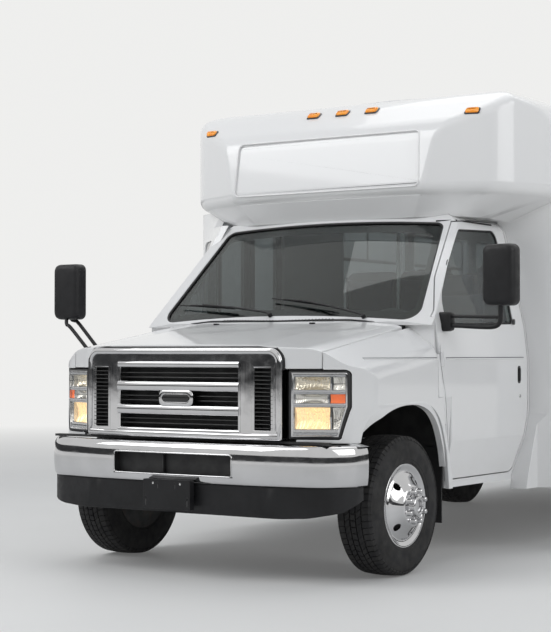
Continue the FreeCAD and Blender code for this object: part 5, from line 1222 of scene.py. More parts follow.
def grille():
    """The plated grille with raised ribs, slats in its gaps, ladders in its slots and a plain badge."""
    settled(softened("grille", 5.0), "bright_chrome", replaces=["grille"], crisp=0)
    ribs = [grille_rib("grille_edge", rounded(GRILLE_EDGE, 12, 10), 15, 9, True)]
    for height, half, bulge in GRILLE_BARS:
        line = [Vector((x, height)) for x in range(-404, 405, 16)]
        ribs.append(grille_rib("grille_bar", line, half, bulge))
    for place, half, bulge, heights in GRILLE_POSTS:
        for x in (-place, place):
            ribs.append(grille_rib("grille_post", [Vector((x, height)) for height in heights], half, bulge))
    settled(together("grille_ribs", ribs), "bright_chrome", crisp=50)
    slats = bevelled(block("grille_slats", -391, 391, -672, -640, 803, 808), 0.0015)
    grow(slats, "rows", "gloss_black", Count=2, Step=(0, 0, 0.024), Rows=3, Row_Step=(0, 0, GAP_PITCH * MM))
    settled(slats, "gloss_black", slot="dark_insert")
    rung = bevelled(block("grille_ladder", -GRILLE_SLOT - 50, 50 - GRILLE_SLOT, -680, -655, 792, 796), 0.001)
    over = (2 * GRILLE_SLOT * MM, 0, 0)
    grow(rung, "rows", "gloss_black", Count=16, Step=(0, 0, 0.0205), Rows=2, Row_Step=over)
    settled(rung, "gloss_black", slot="dark_insert")
    loops = []
    for inset, lift in BADGE:
        outline = rounded(pane(-104 + inset, 104 - inset, 905 + inset, 977 - inset, 30), 8)
        loops.append([spot(p.x, -708.2 - lift, p.y) for p in outline])
    settled(tidied(band("grille_badge", loops, caps=True)), "bright_chrome")
    face = front_plate("grille_badge_face", pane(-88, 88, 921, 961, 18), -713.6, -708)
    settled(bevelled(face, 0.001), "gloss_black")
    # rubber line round the grille's top
    side, crown = 643, 1209
    line = rounded([(side, 1092), (side, crown, 76), (-side, crown, 76), (-side, 1092)], 12, 8)[:-7]
    tube("grille_seal", [spot(p.x, -647, p.y) for p in line], 0.0042, "seal_rubber", sides=8)


def bumper_face(x, height):
    """A point on the bumper's rolled face."""
    for (z0, out0), (z1, out1) in zip(BUMPER_ROLL, BUMPER_ROLL[1:]):
        if z0 <= height <= z1:
            out = out0 + (out1 - out0) * (height - z0) / (z1 - z0)
            break
    step = 3.0 if x < 990 else -3.0
    here, near = (from_front(u, 690, "front_bumper") for u in (x, x + step))
    along = (near - here).normalized() * (1 if step > 0 else -1)
    outward = Vector((along.y, -along.x, 0))
    return Vector((here.x, here.y, height * MM)) + outward * out * MM


def bumper_skin():
    """The plated skin: rolled over at its top and its foot, bowed between, and open at its slot."""
    columns = [*range(-996, -880, 12), *range(-880, -SLOT_HALF, 20)]
    columns += [*range(-SLOT_HALF, SLOT_HALF, 32), SLOT_HALF]
    columns = sorted({float(x) for x in columns} | {float(-x) for x in columns})
    rows = [z for z, _ in BUMPER_ROLL]
    count = len(rows)
    points = [bumper_face(x, z) for x in columns for z in rows]
    faces = []
    for i in range(len(columns) - 1):
        for j in range(count - 1):
            if abs(columns[i] + columns[i + 1]) / 2 < SLOT_HALF and SLOT_FOOT <= rows[j] < SLOT_HEAD:
                continue
            a = i * count + j
            faces.append((a, a + count, a + count + 1, a + 1))
    skin = meshed("bumper_skin", points, faces)
    # each end wraps round to the side, and the top and the foot turn in
    with opened(skin) as work:

        def drawn_out(chosen):
            edges = [e for e in work.edges if e.is_boundary and all(chosen(v.co) for v in e.verts)]
            made = bmesh.ops.extrude_edge_only(work, edges=edges)["geom"]
            return [item.co for item in made if isinstance(item, bmesh.types.BMVert)]

        for co in drawn_out(lambda co: abs(co.x) > 0.99):
            co.y += 0.085
            co.x += math.copysign(0.006, co.x)
        for height, drop in ((rows[-1], -0.0005), (rows[0], 0.0005)):
            for co in drawn_out(lambda co: abs(co.z - height * MM) < 1e-5):
                co.y += 0.04
                co.z += drop
                co.x *= 0.985
    tidied(skin)
    middle = min(skin.data.polygons, key=lambda face: (face.center - spot(500, -738, 600)).length)
    if middle.normal.y > 0:
        skin.data.flip_normals()
    return thickened(skin, 0.004)


def bumper():
    """The plated bumper with its slot, and the valance under it."""
    settled(bumper_skin(), "bright_chrome", replaces=["front_bumper"], crisp=36)
    line = rounded(grown(pane(-SLOT_HALF, SLOT_HALF, SLOT_FOOT, SLOT_HEAD, 12), 3), 5, 16)
    lip = [bumper_face(p.x, p.y) for p in line]
    tube("bumper_slot_lip", lip, 0.0042, "bright_chrome", closed=True, sides=8)
    liner = front_plate("bumper_slot_back", pane(-392, 392, 536, 661, 10), -700, -690)
    settled(liner, "dark_insert", crisp=32)
    walls = [block("wall", -390, 390, -748, -692, z - 2, z + 2) for z in (540, 657)]
    walls += [block("wall", x - 2, x + 2, -744, -692, 540, 657) for x in (-388, 388)]
    walls.append(block("post", -82, -72, -722, -696, 549, 648, 2))
    settled(together("bumper_slot_walls", walls), "dark_insert")
    # a dark strip over the bumper's top, standing for the shadow in the gap behind it: painted shade
    settled(block("bumper_top_shade", -900, 900, -640, -600, 716, 728), "dark_insert", crisp=32)
    valance = softened("bumper_valance", 4.0)
    for point in valance.data.vertices:
        # the lower edge rises towards the ends
        reach = max(0.0, abs(point.co.x) - 0.72) / 0.28
        lower = max(0.0, (0.50 - point.co.z) / 0.16)
        point.co.z += 0.05 * min(1.0, reach) ** 1.5 * min(1.0, lower)
    settled(valance, "grained_plastic", replaces=["bumper_valance"], crisp=34)


def plate_bracket():
    settled(softened("plate_bracket", 3.0), "grained_plastic", replaces=["plate_bracket"], crisp=0)
    front = -790
    sides = ((-140, -132, 380, 430), (132, 140, 380, 430), (-60, -54, 470, 505), (54, 60, 470, 505))
    ribs = [block("rib", x0, x1, front - 0.1, front + 4, z0, z1, 1) for x0, x1, z0, z1 in sides]
    settled(together("plate_bracket_ribs", ribs), "gloss_black")
    profile = [(3.5, 0.1), (3.5, 8.5), (0.4, 8.5), (-0.7, 6), (-1, 2), (-1, 0.1)]
    screw = turned("plate_screws", profile, spot(-88.9, front + 1, 497), 20, axis="Y")
    grow(screw, "rows", "brushed_bright", Count=2, Step=(0.1778, 0, 0))
    settled(tidied(screw), "brushed_bright", crisp=32)


def wipers():
    """Two arms on knobs, each with a bridge and a blade, laid on the windscreen."""
    arms = []
    for pivot, tip in ((560, 60), (-60, -640)):
        arm = ((pivot, 30, 20), (pivot - 60, 46, 24), ((pivot + tip) / 2, 92, 24), (tip + 60, 134, 20),
               (tip + 40, 138, 14))
        blade = ((tip + 300, 92, 11), (tip + 65, 131, 9), (tip - 170, 170, 11))
        bridge = ((tip + 200, 109, 13), (tip + 60, 133, 17), (tip - 80, 156, 13))
        for line, radius, sides in ((arm, 0.006, 8), (blade, 0.0042, 6), (bridge, 0.0045, 8)):
            path = smoothed([on_glass(*p) for p in line])
            arms.append(wire("wiper", path, radius, "grained_plastic", sides=sides))
        outward = (on_glass(pivot, 30, 10) - on_glass(pivot, 30, 0)).normalized()
        profile = [(-2, 0.1), (-2, 13), (14, 13), (20, 10), (22, 0.1)]
        knob = turned("knob", profile, Vector((0, 0, 0)), 20, axis="Z")
        turn = outward.to_track_quat("Z", "Y").to_matrix().to_4x4()
        arms.append(moved(knob, Matrix.Translation(on_glass(pivot, 30, 4)) @ turn))
    settled(together("wiper_arms", arms), "grained_plastic", replaces=["wipers"])


def cowl_ribs():
    """Ribs across the black panel at the windscreen's foot, where the panel is under both of their ends."""
    ribs = []
    for x in range(-748, 749, 22):
        stations = (205 + 60 * abs(x) / 800, 240 + 40 * abs(x) / 800)
        ends = [met(["cowl"], spot(x, station, ABOVE), (0, 0, -1), 0.0005) for station in stations]
        if None not in ends:
            ribs.append(meshed("rib", ends, edges=[(0, 1)]))
    ribs = together("cowl_ribs", ribs)
    grow(ribs, "tube", "gloss_black", Radius=0.0035, Sides=6)
    settled(tidied(ribs), "gloss_black", crisp=32)


class MINIBUS_OT_front(bpy.types.Operator):
    """Grille, bumper, valance, plate bracket, wipers and cowl"""

    bl_idname = "minibus.front"
    bl_label = "Front end"

    def execute(self, context):
        grille()
        bumper()
        plate_bracket()
        wipers()
        cowl_ribs()
        return {"FINISHED"}


# Painted panels, trim and doors. Each CAD panel has a copy with its edges rounded and its light smoothed

SOFTENED = (
    # node, edge radius in mm, finish, body
    ("hood", 5.0, "gloss_paint", "hood"),
    ("fenders", 3.5, "gloss_paint", BODY),
    ("front_cap", 3.0, "gloss_paint", BODY),
    ("kerb_panel", 3.0, "gloss_paint", BODY),
    ("driver_door", 3.0, "gloss_paint", "driver_door"),
    ("side_wall_left", 3.0, "gloss_paint", BODY),
    ("side_wall_right", 3.0, "gloss_paint", BODY),
    ("rear_wall", 3.0, "gloss_paint", BODY),
    ("rear_door", 3.0, "gloss_paint", "rear_door"),
    ("entry_leaf_front", 2.5, "black_alloy", "entry_leaf_front"),
    ("entry_leaf_rear", 2.5, "black_alloy", "entry_leaf_rear"),
    ("rear_bumper", 5.0, "frame_paint", BODY),
    ("dashboard", 12.0, "moulded_grey", BODY),
    ("cowl", 2.5, "grained_plastic", BODY),
    ("fuel_tank", 10.0, "dull_steel", BODY),
)
SIGN = [(-650, 2152, 28), (650, 2152, 28), (636, 2474, 28), (-636, 2474, 28)]
# the front wheel arch, as (station, height): just outside the fender's edge, and where the lip ends
ARCH_OUTER = [
    (-484, 704), (-481, 768), (-442, 812), (-388, 853), (-330, 894), (-285, 914), (-200, 917), (-80, 918),
    (40, 918), (186, 915), (283, 864), (341, 796), (387, 686), (403, 560),
]
ARCH_INNER = [
    (-410, 704), (-384, 757), (-352, 792), (-316, 822), (-270, 848), (-218, 868), (-150, 886), (-70, 899),
    (40, 904), (140, 895), (243, 858), (320, 786), (376, 668), (402, 556),
]
# the lip's section, as a share of the way inwards and how far it stands out
LIP_SECTION = ((0, -1.5), (0, 0.5), (0.3, 3.0), (0.85, 3.0), (1, 1.0), (1, -34), (0, -34))
# corners, as (station, height), of what closes the seams behind the front wheel arches
CHEEK_LEFT = [
    (322, 1172), (350, 1172), (361, 1110), (401, 968), (414, 926, 150), (432, 755, 150), (464, 630),
    (452, 630), (413, 755), (392, 905), (322, 905),
]
CHEEK_RIGHT = [(322, 1172), (384, 1172), (384, 905), (322, 905)]
DOOR_EDGE = [(486, 560), (440, 755, 200), (422, 926, 200), (408, 974), (486, 974)]
KERB_EDGE = [(486, 560), (455, 600), (428, 700), (404, 800), (380, 905), (380, 974), (486, 974)]


def leant_plate(name, corners, x0, x1):
    """A side plate brought in to the cab's section, above its shoulder and below its crease."""
    piece = side_plate(name, corners, x0, x1)
    for point in piece.data.vertices:
        height = point.co.z / MM
        into = max(0.0, height - 1145) * 0.113 + max(0.0, 690 - height) * 0.196
        if abs(point.co.x) > 0.99:
            point.co.x -= math.copysign(into * MM, point.co.x)
    return piece


def panels():
    """The rounded copies, with what closes the seams of the fenders and the door."""
    cheeks = [leant_plate("cheek", CHEEK_LEFT, 977, 1005), leant_plate("cheek", CHEEK_RIGHT, -977, -1005)]
    more = {"fenders": cheeks, "driver_door": [leant_plate("door_edge", DOOR_EDGE, 979, 1005)]}
    less = {"kerb_panel": [block("above_soffit", -1000, -700, 700, 1000, 1985, 2200)]}
    for node, width, finish, body in SOFTENED:
        piece = softened(node, width, more.get(node, ()), less.get(node, ()))
        settled(piece, finish, body, [node], crisp=0)
    flaps = softened("mud_flaps", 1.5)
    settled(flaps, "seal_rubber", replaces=["mud_flaps"], crisp=0, slot="rubber")
    edge = leant_plate("kerb_edge", KERB_EDGE, -1005.6, -979)
    settled(bevelled(edge, 0.002), "gloss_paint")


def arch_lips():
    """A raised lip along each front wheel arch, which rounds its corners."""
    outer, inner = (smoothed([Vector(point) for point in line], 3) for line in (ARCH_OUTER, ARCH_INNER))
    lips = []
    for side in (1, -1):
        loops = []
        face = 1005.0
        for far, near in zip(outer, inner):
            place = met(["fenders"], spot(side * ASIDE, far.x, far.y), (-side, 0, 0))
            if place is not None and abs(place.x) > 0.93:
                face = abs(place.x) / MM
            points = [(far.lerp(near, share), lift) for share, lift in LIP_SECTION]
            loops.append([spot(side * (face + lift), p.x, p.y) for p, lift in points])
        lips.append(tidied(band("lip", loops, caps=True)))
    settled(together("arch_lips", lips), "gloss_paint", crisp=34)


def door_furniture():
    """The driver's door: its handle in a cup, its lock and the block in its window's corner."""
    cup = side_plate("door_handle_cup", pane(1321, 1359, 998, 1102, 12), 990, 1006.5)
    settled(bevelled(cup, 0.002), "gloss_black", "driver_door", ["driver_door_handle"], crisp=32)
    pull = side_plate("door_handle_pull", pane(1329, 1351, 1010, 1090, 9), 1000, 1013)
    settled(bevelled(pull, 0.004, 3), "grained_plastic", "driver_door")
    place = from_left(1350, 922, "driver_door")
    profile = [(-2, 0.1), (-2, 12), (1.5, 12), (2.5, 11), (2.5, 8.5), (1.5, 8), (1.5, 0.1)]
    settled(turned("door_lock", profile, place, 24), "brushed_bright", "driver_door", crisp=32)
    slit = block("door_lock_slit", 0, 2, -1.2, 1.2, 0, 9)
    moved(slit, Matrix.Translation(place - spot(0, 0, 4.5) + Vector((0.0006, 0, 0))))
    settled(slit, "dark_insert", "driver_door", crisp=32)
    stop = side_plate("door_window_block", pane(1288, 1322, 1346, 1380, 8), 985, 990)
    settled(bevelled(stop, 0.002), "gloss_black", "driver_door")


def rail_and_bead():
    """The drip rail over the driver's door, and the bead round the sign's recess."""
    rail = [from_left(860 + 26 * k, 1946, "cab_shell", "driver_door", lift=0.002) for k in range(19)]
    tube("door_drip_rail", rail, 0.005, "seal_rubber", sides=8)
    bead = [from_front(p.x, p.y, "front_cap") for p in rounded(grown(SIGN, 4), 6, 16)]
    tube("sign_bead", bead, 0.0055, "gloss_paint", closed=True, sides=8)


def creases():
    """A crease along each side: a rounded edge, with a thin grey line above it that is painted shade for the
    crease's shadow.
    """
    for word, height, radius, finish in (
        ("crease", 1146, 0.005, "gloss_paint"),
        # a grey tube standing for the crease's shadow: painted shade
        ("shade_line", 1152.5, 0.0024, "moulded_grey"),
    ):
        for name, node, signs, start, end, body in (
            ("fender", "fenders", (1, -1), -330, 318, BODY),
            ("door", "driver_door", (1,), 420, 1400, "driver_door"),
        ):
            runs = []
            for sign in signs:
                line = []
                for k in range(41):
                    origin = spot(sign * ASIDE, start + (end - start) * k / 40, height)
                    place = met([node], origin, (-sign, 0, 0))
                    if place is not None and abs(place.x) > 0.9:
                        line.append(place)
                runs.append(wire(word, line, radius, finish))
            settled(together(f"{name}_{word}", runs), finish, body, crisp=60)


def washer_jets():
    jets = []
    for x in (-330, 330):
        foot = from_above(x, 110, "hood")
        jet = block("jet", x - 13, x + 13, 96, 124, 0, 9, 3)
        jets.append(moved(jet, Matrix.Translation((0, 0, foot.z - 0.001))))
    settled(together("washer_jets", jets), "grained_plastic", "hood")


def side_trim():
    """Joints along each roof edge, rub rails on the skirt, and a bar and a post in each side window."""
    for side, word, first, count, skirt in ((1, "left", 1760, 4, 1580), (-1, "right", 2840, 3, 2130)):

        def strip(name, near, far, *rest):
            x0, x1 = sorted((side * (HALF_BODY + near), side * (HALF_BODY + far)))
            return block(name, x0, x1, *rest)

        strips = [strip("strip", -2, deep, 1570, 6192, z - 5, z + 5, 2) for z, deep in ((2500, 5), (2486, 3))]
        settled(together("roof_joint_" + word, strips), "gloss_paint")
        rubs = [strip("rub", -1, 9, a0, a1, 806, 850, 4) for a0, a1 in ((skirt, 3540), (4490, 6190))]
        settled(together("rub_rail_" + word, rubs), "seal_rubber", slot="rubber")
        for name, a0, a1, z0, z1 in (("bars", 0, 980, 1872, 1896), ("posts", 480, 500, 1890, 2128)):
            bar = bevelled(strip(f"slider_{name}_{word}", -9, -1, first + a0, first + a1, z0, z1), 0.002)
            grow(bar, "rows", "black_alloy", Count=count, Step=(0, WINDOW_PITCH * MM, 0))
            settled(bar, "black_alloy")


def entry_trim():
    """Seals round the glass of the entry's leaves, and a grab bar on each."""
    for body, a0, a1, station in (
        ("entry_leaf_front", 1326, 1711, 1671),
        ("entry_leaf_rear", 1719, 2104, 1759),
    ):
        for number, (z0, z1) in enumerate(((520, 1270), (1330, 2270))):
            outline = rounded(pane(a0 + 52, a1 - 52, z0, z1, 40), 8)
            line = [spot(2 - HALF_BODY, p.x, p.y) for p in outline]
            tube(f"{body}_seal_{number}", line, 0.008, "seal_rubber", body, True, 8, slot="rubber")
        places = ((-1205, 1020), (-1172, 1030), (-1172, 1060), (-1172, 1400), (-1172, 1430), (-1205, 1440))
        bar = smoothed([spot(x, station, z) for x, z in places], 6)
        tube(body + "_bar", bar, 0.013, "brushed_bright", body)


def rear_trim():
    """The rear door's gasket, hinges and lever plate, and the pads on the bumper."""
    line = [spot(p.x, REAR_STATION - 4, p.y) for p in rounded(pane(-414, 414, 696, 2304, 20))]
    tube("rear_door_gasket", line, 0.005, "seal_rubber", closed=True, sides=8, slot="rubber")
    hinges = []
    for z in (860, 1500, 2140):
        profile = [(z - 60, 0.1), (z - 60, 9), (z + 60, 9), (z + 60, 0.1)]
        hinges.append(block("leaf", -470, -428, REAR_STATION - 7, REAR_STATION + 1, z - 55, z + 55, 2))
        hinges.append(turned("pin", profile, spot(-421, REAR_STATION + 2, 0), 16, axis="Z"))
    settled(together("rear_door_hinges", hinges), "black_alloy")
    corners = pane(205, 270, 1090, 1245, 14)
    plate = front_plate("rear_lever_plate", corners, REAR_STATION - 6.5, REAR_STATION + 1)
    settled(bevelled(plate, 0.002), "brushed_bright", "rear_door")
    spans = ((-1150, -480), (480, 1150), (-380, 380))
    pads = [block("pad", x0, x1, 6253, 6263, 500, 530, 4) for x0, x1 in spans]
    settled(together("rear_bumper_pads", pads), "seal_rubber", slot="rubber")


class MINIBUS_OT_body(bpy.types.Operator):
    """Panels with rounded edges, and the trim on them"""

    bl_idname = "minibus.body"
    bl_label = "Body"

    def execute(self, context):
        panels()
        arch_lips()
        door_furniture()
        rail_and_bead()
        creases()
        washer_jets()
        side_trim()
        entry_trim()
        rear_trim()
        return {"FINISHED"}


# Seats: padded forms, swollen as cloth under pressure, on frames of tube

# the pads: width, depth, height and crown in mm, and the channels sewn in them, as (axis, place)
PADS = {
    "seat_pad": (424, 472, 88, 12, ((1, -70), (1, 90))),
    "back_pad": (424, 560, 46, 9, ((1, -130), (1, 20), (1, 170))),
    "driver_pad": (450, 470, 96, 10, ((0, -150), (0, 150), (1, 60))),
    "driver_back_pad": (436, 500, 66, 10, ((0, -145), (0, 145), (1, -40), (1, 130))),
    "driver_head_pad": (240, 130, 66, 6, ()),
}
BENCH_PITCH = 760
# side, its word, the first bench's station, and how many there are
BENCHES = ((1, "left", 1650, 6), (-1, "right", 2410, 5))
# the grab rail over a back, as (x, height)
GRAB_LINE = ((330, 1770), (345, 1779), (560, 1779), (585, 1770))
SWELL_STEPS = 20


def pad_form(name, wide, deep, high, crown, voxel):
    """A crowned closed form about its own middle, lying flat. Its sides pull in between its corners."""
    pad = linked(name, bpy.data.meshes.new(name))
    with opened(pad) as work:
        bmesh.ops.create_cube(work, size=2.0)
        bmesh.ops.subdivide_edges(work, edges=work.edges[:], cuts=9, use_grid_fill=True)
        for point in work.verts:
            x, y, z = point.co
            rise = crown * (1 - x**4) * (1 - y**4) * (z + 1) / 2
            u, v = wide / 2 * x * (1 - 0.03 * (1 - y * y)), deep / 2 * y * (1 - 0.03 * (1 - x * x))
            point.co = Vector((u, v, high / 2 * z + rise)) * MM
    bevelled(pad, min(high * 0.3, 26) * MM, 4)
    return modified(pad, "REMESH", mode="VOXEL", voxel_size=voxel)


def swollen(pads, cap):
    """Swells pads as cloth under pressure, none of their points further than the cap in metres."""
    scene = bpy.context.scene
    rest = {}
    for pad in pads:
        rest[pad.name] = [point.co.copy() for point in pad.data.vertices]
        cloth = modifier(pad, "CLOTH")
        cloth.settings.use_pressure = True
        cloth.settings.uniform_pressure_force = 4.0
        cloth.settings.effector_weights.gravity = 0.0
        cloth.point_cache.frame_start = 1
        cloth.point_cache.frame_end = SWELL_STEPS
    for moment in range(1, SWELL_STEPS + 1):
        scene.frame_set(moment)
    for pad in pads:
        plain(pad)
        for point, old in zip(pad.data.vertices, rest[pad.name]):
            move = point.co - old
            if move.length > cap:
                point.co = old + move * (cap / move.length)
    scene.frame_set(1)


def channelled(pad, lines, depth=7.0, width=15.0):
    """Sewn channels pressed into the upper face. Lines are (axis, place in mm)."""
    normals = [point.normal.copy() for point in pad.data.vertices]
    for point, normal in zip(pad.data.vertices, normals):
        for axis, place in lines:
            gap = (point.co[axis] / MM - place) / width
            point.co.z -= depth * MM * math.exp(-gap * gap) * max(0.0, normal.z)


def laid(pad, x, station, height, tilt):
    """A copy of a pad with its middle at a place, tilted by degrees: at 90 its upper face looks forwards."""
    turn = Matrix.Rotation(math.radians(tilt), 4, "X")
    return moved(linked(pad.name, pad.data.copy()), Matrix.Translation(spot(x, station, height)) @ turn)


def repeated(name, pieces, count, finish, **more):
    """Pieces of one bench, joined and then repeated along the bus."""
    made = together(name, pieces)
    grow(made, "rows", finish, Count=count, Step=(0, BENCH_PITCH * MM, 0))
    return settled(made, finish, **more)


def bench_frame(side, first):
    """The tubes under and behind one bench, as lines of (x, station, height)."""
    near, far = side * 340, side * 1180
    lines = [((near, first + 60, 757), (near, first + 440, 757))]
    for a in (first + 120, first + 380):
        lines.append(((near, a, 752), (near, a, 1020), (side * 360, a, 1040), (far, a, 1040)))
    back = first + 552
    for x in (side * 300, side * 740, side * 1182):
        lines.append(((x, first + 120, 1040), (x, first + 480, 1040), (x, back, 1080), (x, back, 1740)))
    return [wire("frame", [spot(*p) for p in line], 0.011, "black_alloy") for line in lines]


def benches(pads):
    """Two rows of benches for two, each with cushions, backs, shells, a frame and a grab rail."""
    for side, word, first, count in BENCHES:
        middles = (side * 516, side * 963)
        parts = [laid(pads["seat_pad"], x, first + 248, 1112, 1.5) for x in middles]
        old = ["seats"] if side > 0 else ()
        cushions = repeated("bench_cushions_" + word, parts, count, "seat_cloth", replaces=old, crisp=60)
        parts = [laid(pads["back_pad"], x, first + 523, 1456, 90) for x in middles]
        backs = repeated("bench_backs_" + word, parts, count, "seat_cloth", crisp=60)
        shells = []
        for x in middles:
            shell = front_plate("shell", pane(x - 219, x + 219, 1140, 1776, 60), first + 557, first + 578)
            shells.append(bevelled(shell, 0.006, 3))
            shells.append(block("pan", x - 216, x + 216, first + 6, first + 494, 1050, 1064, 5))
        repeated("bench_shells_" + word, shells, count, "moulded_grey")
        repeated("bench_frames_" + word, bench_frame(side, first), count, "black_alloy")
        rail = [spot(side * x, first + 568, height) for x, height in GRAB_LINE]
        grab = wire("grab", smoothed(rail, 5), 0.009, "grained_plastic")
        repeated("bench_grabs_" + word, [grab], count, "grained_plastic", crisp=60)


def driver_seat(pads):
    """The driver's seat: three pads, a base and the head rest's posts."""
    middle = 495
    for name, pad, station, height, tilt in (
        ("driver_cushion", "driver_pad", 1185, 1004, 3),
        ("driver_back", "driver_back_pad", 1468, 1310, 86),
        ("driver_headrest", "driver_head_pad", 1492, 1596, 88),
    ):
        made = together(name, [laid(pads[pad], middle, station, height, tilt)])
        settled(made, "seat_cloth", crisp=60)
    base = block("base", 330, 660, 1000, 1380, 642, 900, 14)
    pan = block("pan", 275, 715, 950, 1420, 900, 946, 10)
    settled(together("driver_seat_base", [base, pan]), "moulded_grey")
    posts = [wire("post", [spot(x, 1488, 1520), spot(x, 1492, 1560)], 0.006, "brushed_bright")
             for x in (middle - 60, middle + 60)]
    settled(together("driver_headrest_posts", posts), "brushed_bright", crisp=32)


class MINIBUS_OT_seats(bpy.types.Operator):
    """Padded benches and the driver's seat, with their frames"""

    bl_idname = "minibus.seats"
    bl_label = "Seats"

    def execute(self, context):
        voxel = context.scene.minibus_sizes.seat_voxel
        pads = {name: pad_form(name, *sizes, voxel) for name, (*sizes, _) in PADS.items()}
        swollen(pads.values(), 0.022)
        for name, pad in pads.items():
            channelled(pad, PADS[name][-1])
        benches(pads)
        driver_seat(pads)
        for pad in pads.values():
            bpy.data.objects.remove(pad)
        return {"FINISHED"}


def dashboard():
    """Instruments under a hood, vents, and a stack of controls."""
    corners = [(470, 1286), (470, 1335, 20), (560, 1350, 18), (640, 1318, 12), (640, 1304), (560, 1300)]
    hood = side_plate("instrument_hood", corners, 330, 660)
    settled(bevelled(hood, 0.008, 3), "moulded_grey")
    dials = []
    for x, r in ((420, 28), (495, 34), (570, 28)):
        profile = [(0, 0.1), (0, r), (6, r), (6, r - 4), (2, r - 5), (2, 0.1)]
        dials.append(turned("dial", profile, spot(x, 600, 1272), 28, axis="Y"))
    settled(together("instrument_dials", dials), "gloss_black")
    vents = [block("frame", x - 62, x + 62, 596, 616, 1216, 1262, 5) for x in (-780, -150, 150, 780)]
    settled(together("vent_frames", vents), "gloss_black")
    slat = bevelled(block("vent_slats", -835, -725, 614, 619, 1222, 1226), 0.001)
    grow(slat, "rows", "grained_plastic", Count=4, Step=(0, 0, 0.0095))
    settled(slat, "grained_plastic")
    corners = [(600, 1200), (672, 1200, 12), (664, 1040, 20), (620, 1010)]
    settled(bevelled(side_plate("centre_stack", corners, -130, 130), 0.005), "grained_plastic")
    profile = [(-4, 0.1), (-4, 17), (10, 16), (14, 13), (14, 0.1)]
    knobs = [turned("knob", profile, spot(x, 668, 1090), 20, axis="Y") for x in (-70, 0, 70)]
    settled(together("stack_knobs", knobs), "moulded_grey")
    settled(block("stack_panel", -90, 90, 664, 673, 1125, 1185, 3), "gloss_black")


def grab_rails():
    """Rails below the ceiling on both sides of the aisle, and a post by the entry."""
    radius = 0.0145
    for x, word, start in ((350, "left", 1700), (-350, "right", 2250)):
        places = ((start, 2735), (start, 2640), (start + 60, 2590), (5900, 2590), (5960, 2640), (5960, 2735))
        line = smoothed([spot(x, station, height) for station, height in places], 6)
        tube("ceiling_rail_" + word, line, radius, "brushed_bright")
    tube("entry_post_0", [spot(-310, 2200, 751), spot(-310, 2200, 2700)], radius, "brushed_bright")


class MINIBUS_OT_cabin(bpy.types.Operator):
    """Instruments, vents, controls and rails"""

    bl_idname = "minibus.cabin"
    bl_label = "Cabin"

    def execute(self, context):
        dashboard()
        grab_rails()
        return {"FINISHED"}


# Floor, light and camera

BACKDROP = (0.86, 0.86, 0.85, 1)
SKY = (0.80, 0.86, 0.94, 1)
# name, place, what it looks at, size, power and how much it shows in reflections
LAMPS = (
    ("key_light", (-4.5, -8.5, 7.5), (0, -2, 1.2), 6.0, 410, 0.6),
    ("side_light", (9.0, -3.0, 5.5), (0, -1, 1.2), 6.0, 260, 0.8),
    ("top_light", (0.0, 1.5, 9.0), (0, 0, 0), 8.0, 240, 0.5),
)
FLOOR_REACH = 70.0
FLAG_REACH = 17
CAMERA_PLACE = (5.318, -10.4115, 1.183)
CAMERA_AZIMUTH = math.radians(33.92)
CAMERA_RISE = math.radians(1.25)


def floor_sheet(shade):
    """A floor that fades into the backdrop with the distance."""
    corners = [(x * FLOOR_REACH, y * FLOOR_REACH, 0) for x, y in ((-1, -1), (1, -1), (1, 1), (-1, 1))]
    plane = meshed("floor_sheet", corners, [(0, 1, 2, 3)])
    cover = Finish("studio_floor", shade, 0.55)
    cover.tint(lighter(shade, 0.97), "noise", 0.6)
    spread = cover.add("ShaderNodeVectorMath", {0: cover.where}, operation="LENGTH")["Value"]
    fade = {"Value": spread, "From Min": 5.0, "From Max": 16.0, "To Min": 0.12}
    far = cover.add("ShaderNodeMapRange", fade)[0]
    pale = cover.add("ShaderNodeEmission", {"Color": BACKDROP, "Strength": 1.0})[0]
    mix = cover.add("ShaderNodeMixShader", {0: far, 1: cover.shader.outputs[0], 2: pale})[0]
    cover.tree.links.new(mix, cover.tree.nodes["Material Output"].inputs["Surface"])
    plane.data.materials.append(cover.material)


def flags():
    """Dark cloths all round, far off and low, that only polished surfaces show."""
    ring = [Matrix.Rotation(2 * math.pi * k / 96, 3, "Z") @ Vector((FLAG_REACH, 0, 0)) for k in range(96)]
    cloth = band("studio_flags", [[p + Vector((0, 0, height)) for p in ring] for height in (0.65, 2.7)])
    cover = Finish("studio_flag_cloth", (0.05, 0.05, 0.052), 0.9)
    cover.tint((0.10, 0.10, 0.10), "noise", 0.5)
    cloth.data.materials.append(cover.material)
    cloth.visible_camera = cloth.visible_diffuse = cloth.visible_transmission = False
    cloth.visible_shadow = cloth.visible_volume_scatter = False


def looking(name, data, place, towards):
    """A lamp or a camera at a place, turned towards a direction."""
    holder = bpy.data.objects.new(name, data)
    holder.location = place
    holder.rotation_euler = towards.to_track_quat("-Z", "Y").to_euler()
    bpy.context.scene.collection.objects.link(holder)
    return holder


def studio_light():
    """A backdrop that the camera, glass and polish see, a softer sky that lights, and three lamps."""
    world = bpy.data.worlds.new("studio_world")
    world.use_nodes = True
    world.node_tree.nodes.clear()
    bpy.context.scene.world = world
    sky = Wiring(world.node_tree)
    seen = sky.add("ShaderNodeBackground", {"Color": BACKDROP})[0]
    lit = sky.add("ShaderNodeBackground", {"Color": SKY, "Strength": 0.34})[0]
    path = sky.add("ShaderNodeLightPath")
    clear = path["Is Camera Ray"]
    for label in ("Is Transmission Ray", "Is Glossy Ray"):
        clear = sky.add("ShaderNodeMath", {0: clear, 1: path[label]}, operation="MAXIMUM")[0]
    mix = sky.add("ShaderNodeMixShader", {0: clear, 1: lit, 2: seen})[0]
    sky.add("ShaderNodeOutputWorld", {"Surface": mix})
    for name, place, aim, size, power, glint in LAMPS:
        lamp = bpy.data.lights.new(name, "AREA")
        lamp.shape = "SQUARE"
        lamp.size = size
        lamp.energy = power
        lamp.specular_factor = glint
        looking(name, lamp, place, Vector(aim) - Vector(place))


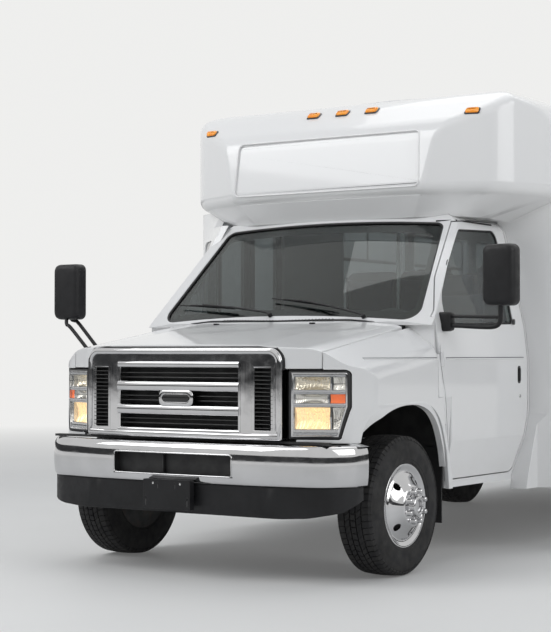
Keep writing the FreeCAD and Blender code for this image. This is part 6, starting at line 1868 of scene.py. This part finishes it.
def camera_view(lens):
    camera = bpy.data.cameras.new("camera")
    camera.lens = lens
    camera.sensor_width = 36.0
    camera.clip_end = 400.0
    ahead = Vector((-math.sin(CAMERA_AZIMUTH), math.cos(CAMERA_AZIMUTH), 0)) * math.cos(CAMERA_RISE)
    aim = ahead + Vector((0, 0, math.sin(CAMERA_RISE)))
    bpy.context.scene.camera = looking("camera", camera, CAMERA_PLACE, aim)


class MINIBUS_OT_stage(bpy.types.Operator):
    """Pale floor, soft studio light and the camera"""

    bl_idname = "minibus.stage"
    bl_label = "Floor, light and camera"

    def execute(self, context):
        floor_sheet(context.scene.minibus_colours.floor)
        flags()
        studio_light()
        camera_view(context.scene.minibus_sizes.lens)
        return {"FINISHED"}


class MINIBUS_PT_panel(bpy.types.Panel):
    """The minibus's operators, in the order in which they are run"""

    bl_idname = "MINIBUS_PT_panel"
    bl_label = "Minibus"
    bl_space_type = "VIEW_3D"
    bl_region_type = "UI"
    bl_category = "Minibus"

    def draw(self, context):
        for step in STEPS:
            self.layout.operator(step.bl_idname)


STEPS = (
    MINIBUS_OT_paint,
    MINIBUS_OT_stage,
    MINIBUS_OT_glazing,
    MINIBUS_OT_wheels,
    MINIBUS_OT_mirrors,
    MINIBUS_OT_lamps,
    MINIBUS_OT_front,
    MINIBUS_OT_body,
    MINIBUS_OT_seats,
    MINIBUS_OT_cabin,
)
CLASSES = (MinibusColours, MinibusSizes, *STEPS, MINIBUS_PT_panel)


def register():
    for item in CLASSES:
        bpy.utils.register_class(item)
    bpy.types.Scene.minibus_colours = PointerProperty(type=MinibusColours)
    bpy.types.Scene.minibus_sizes = PointerProperty(type=MinibusSizes)


def unregister():
    del bpy.types.Scene.minibus_sizes
    del bpy.types.Scene.minibus_colours
    for item in reversed(CLASSES):
        bpy.utils.unregister_class(item)


def main():
    register()
    bpy.context.scene.view_settings.view_transform = "Standard"
    for step in STEPS:
        group, name = step.bl_idname.split(".")
        getattr(getattr(bpy.ops, group), name)()


if __name__ == "__main__":
    main()
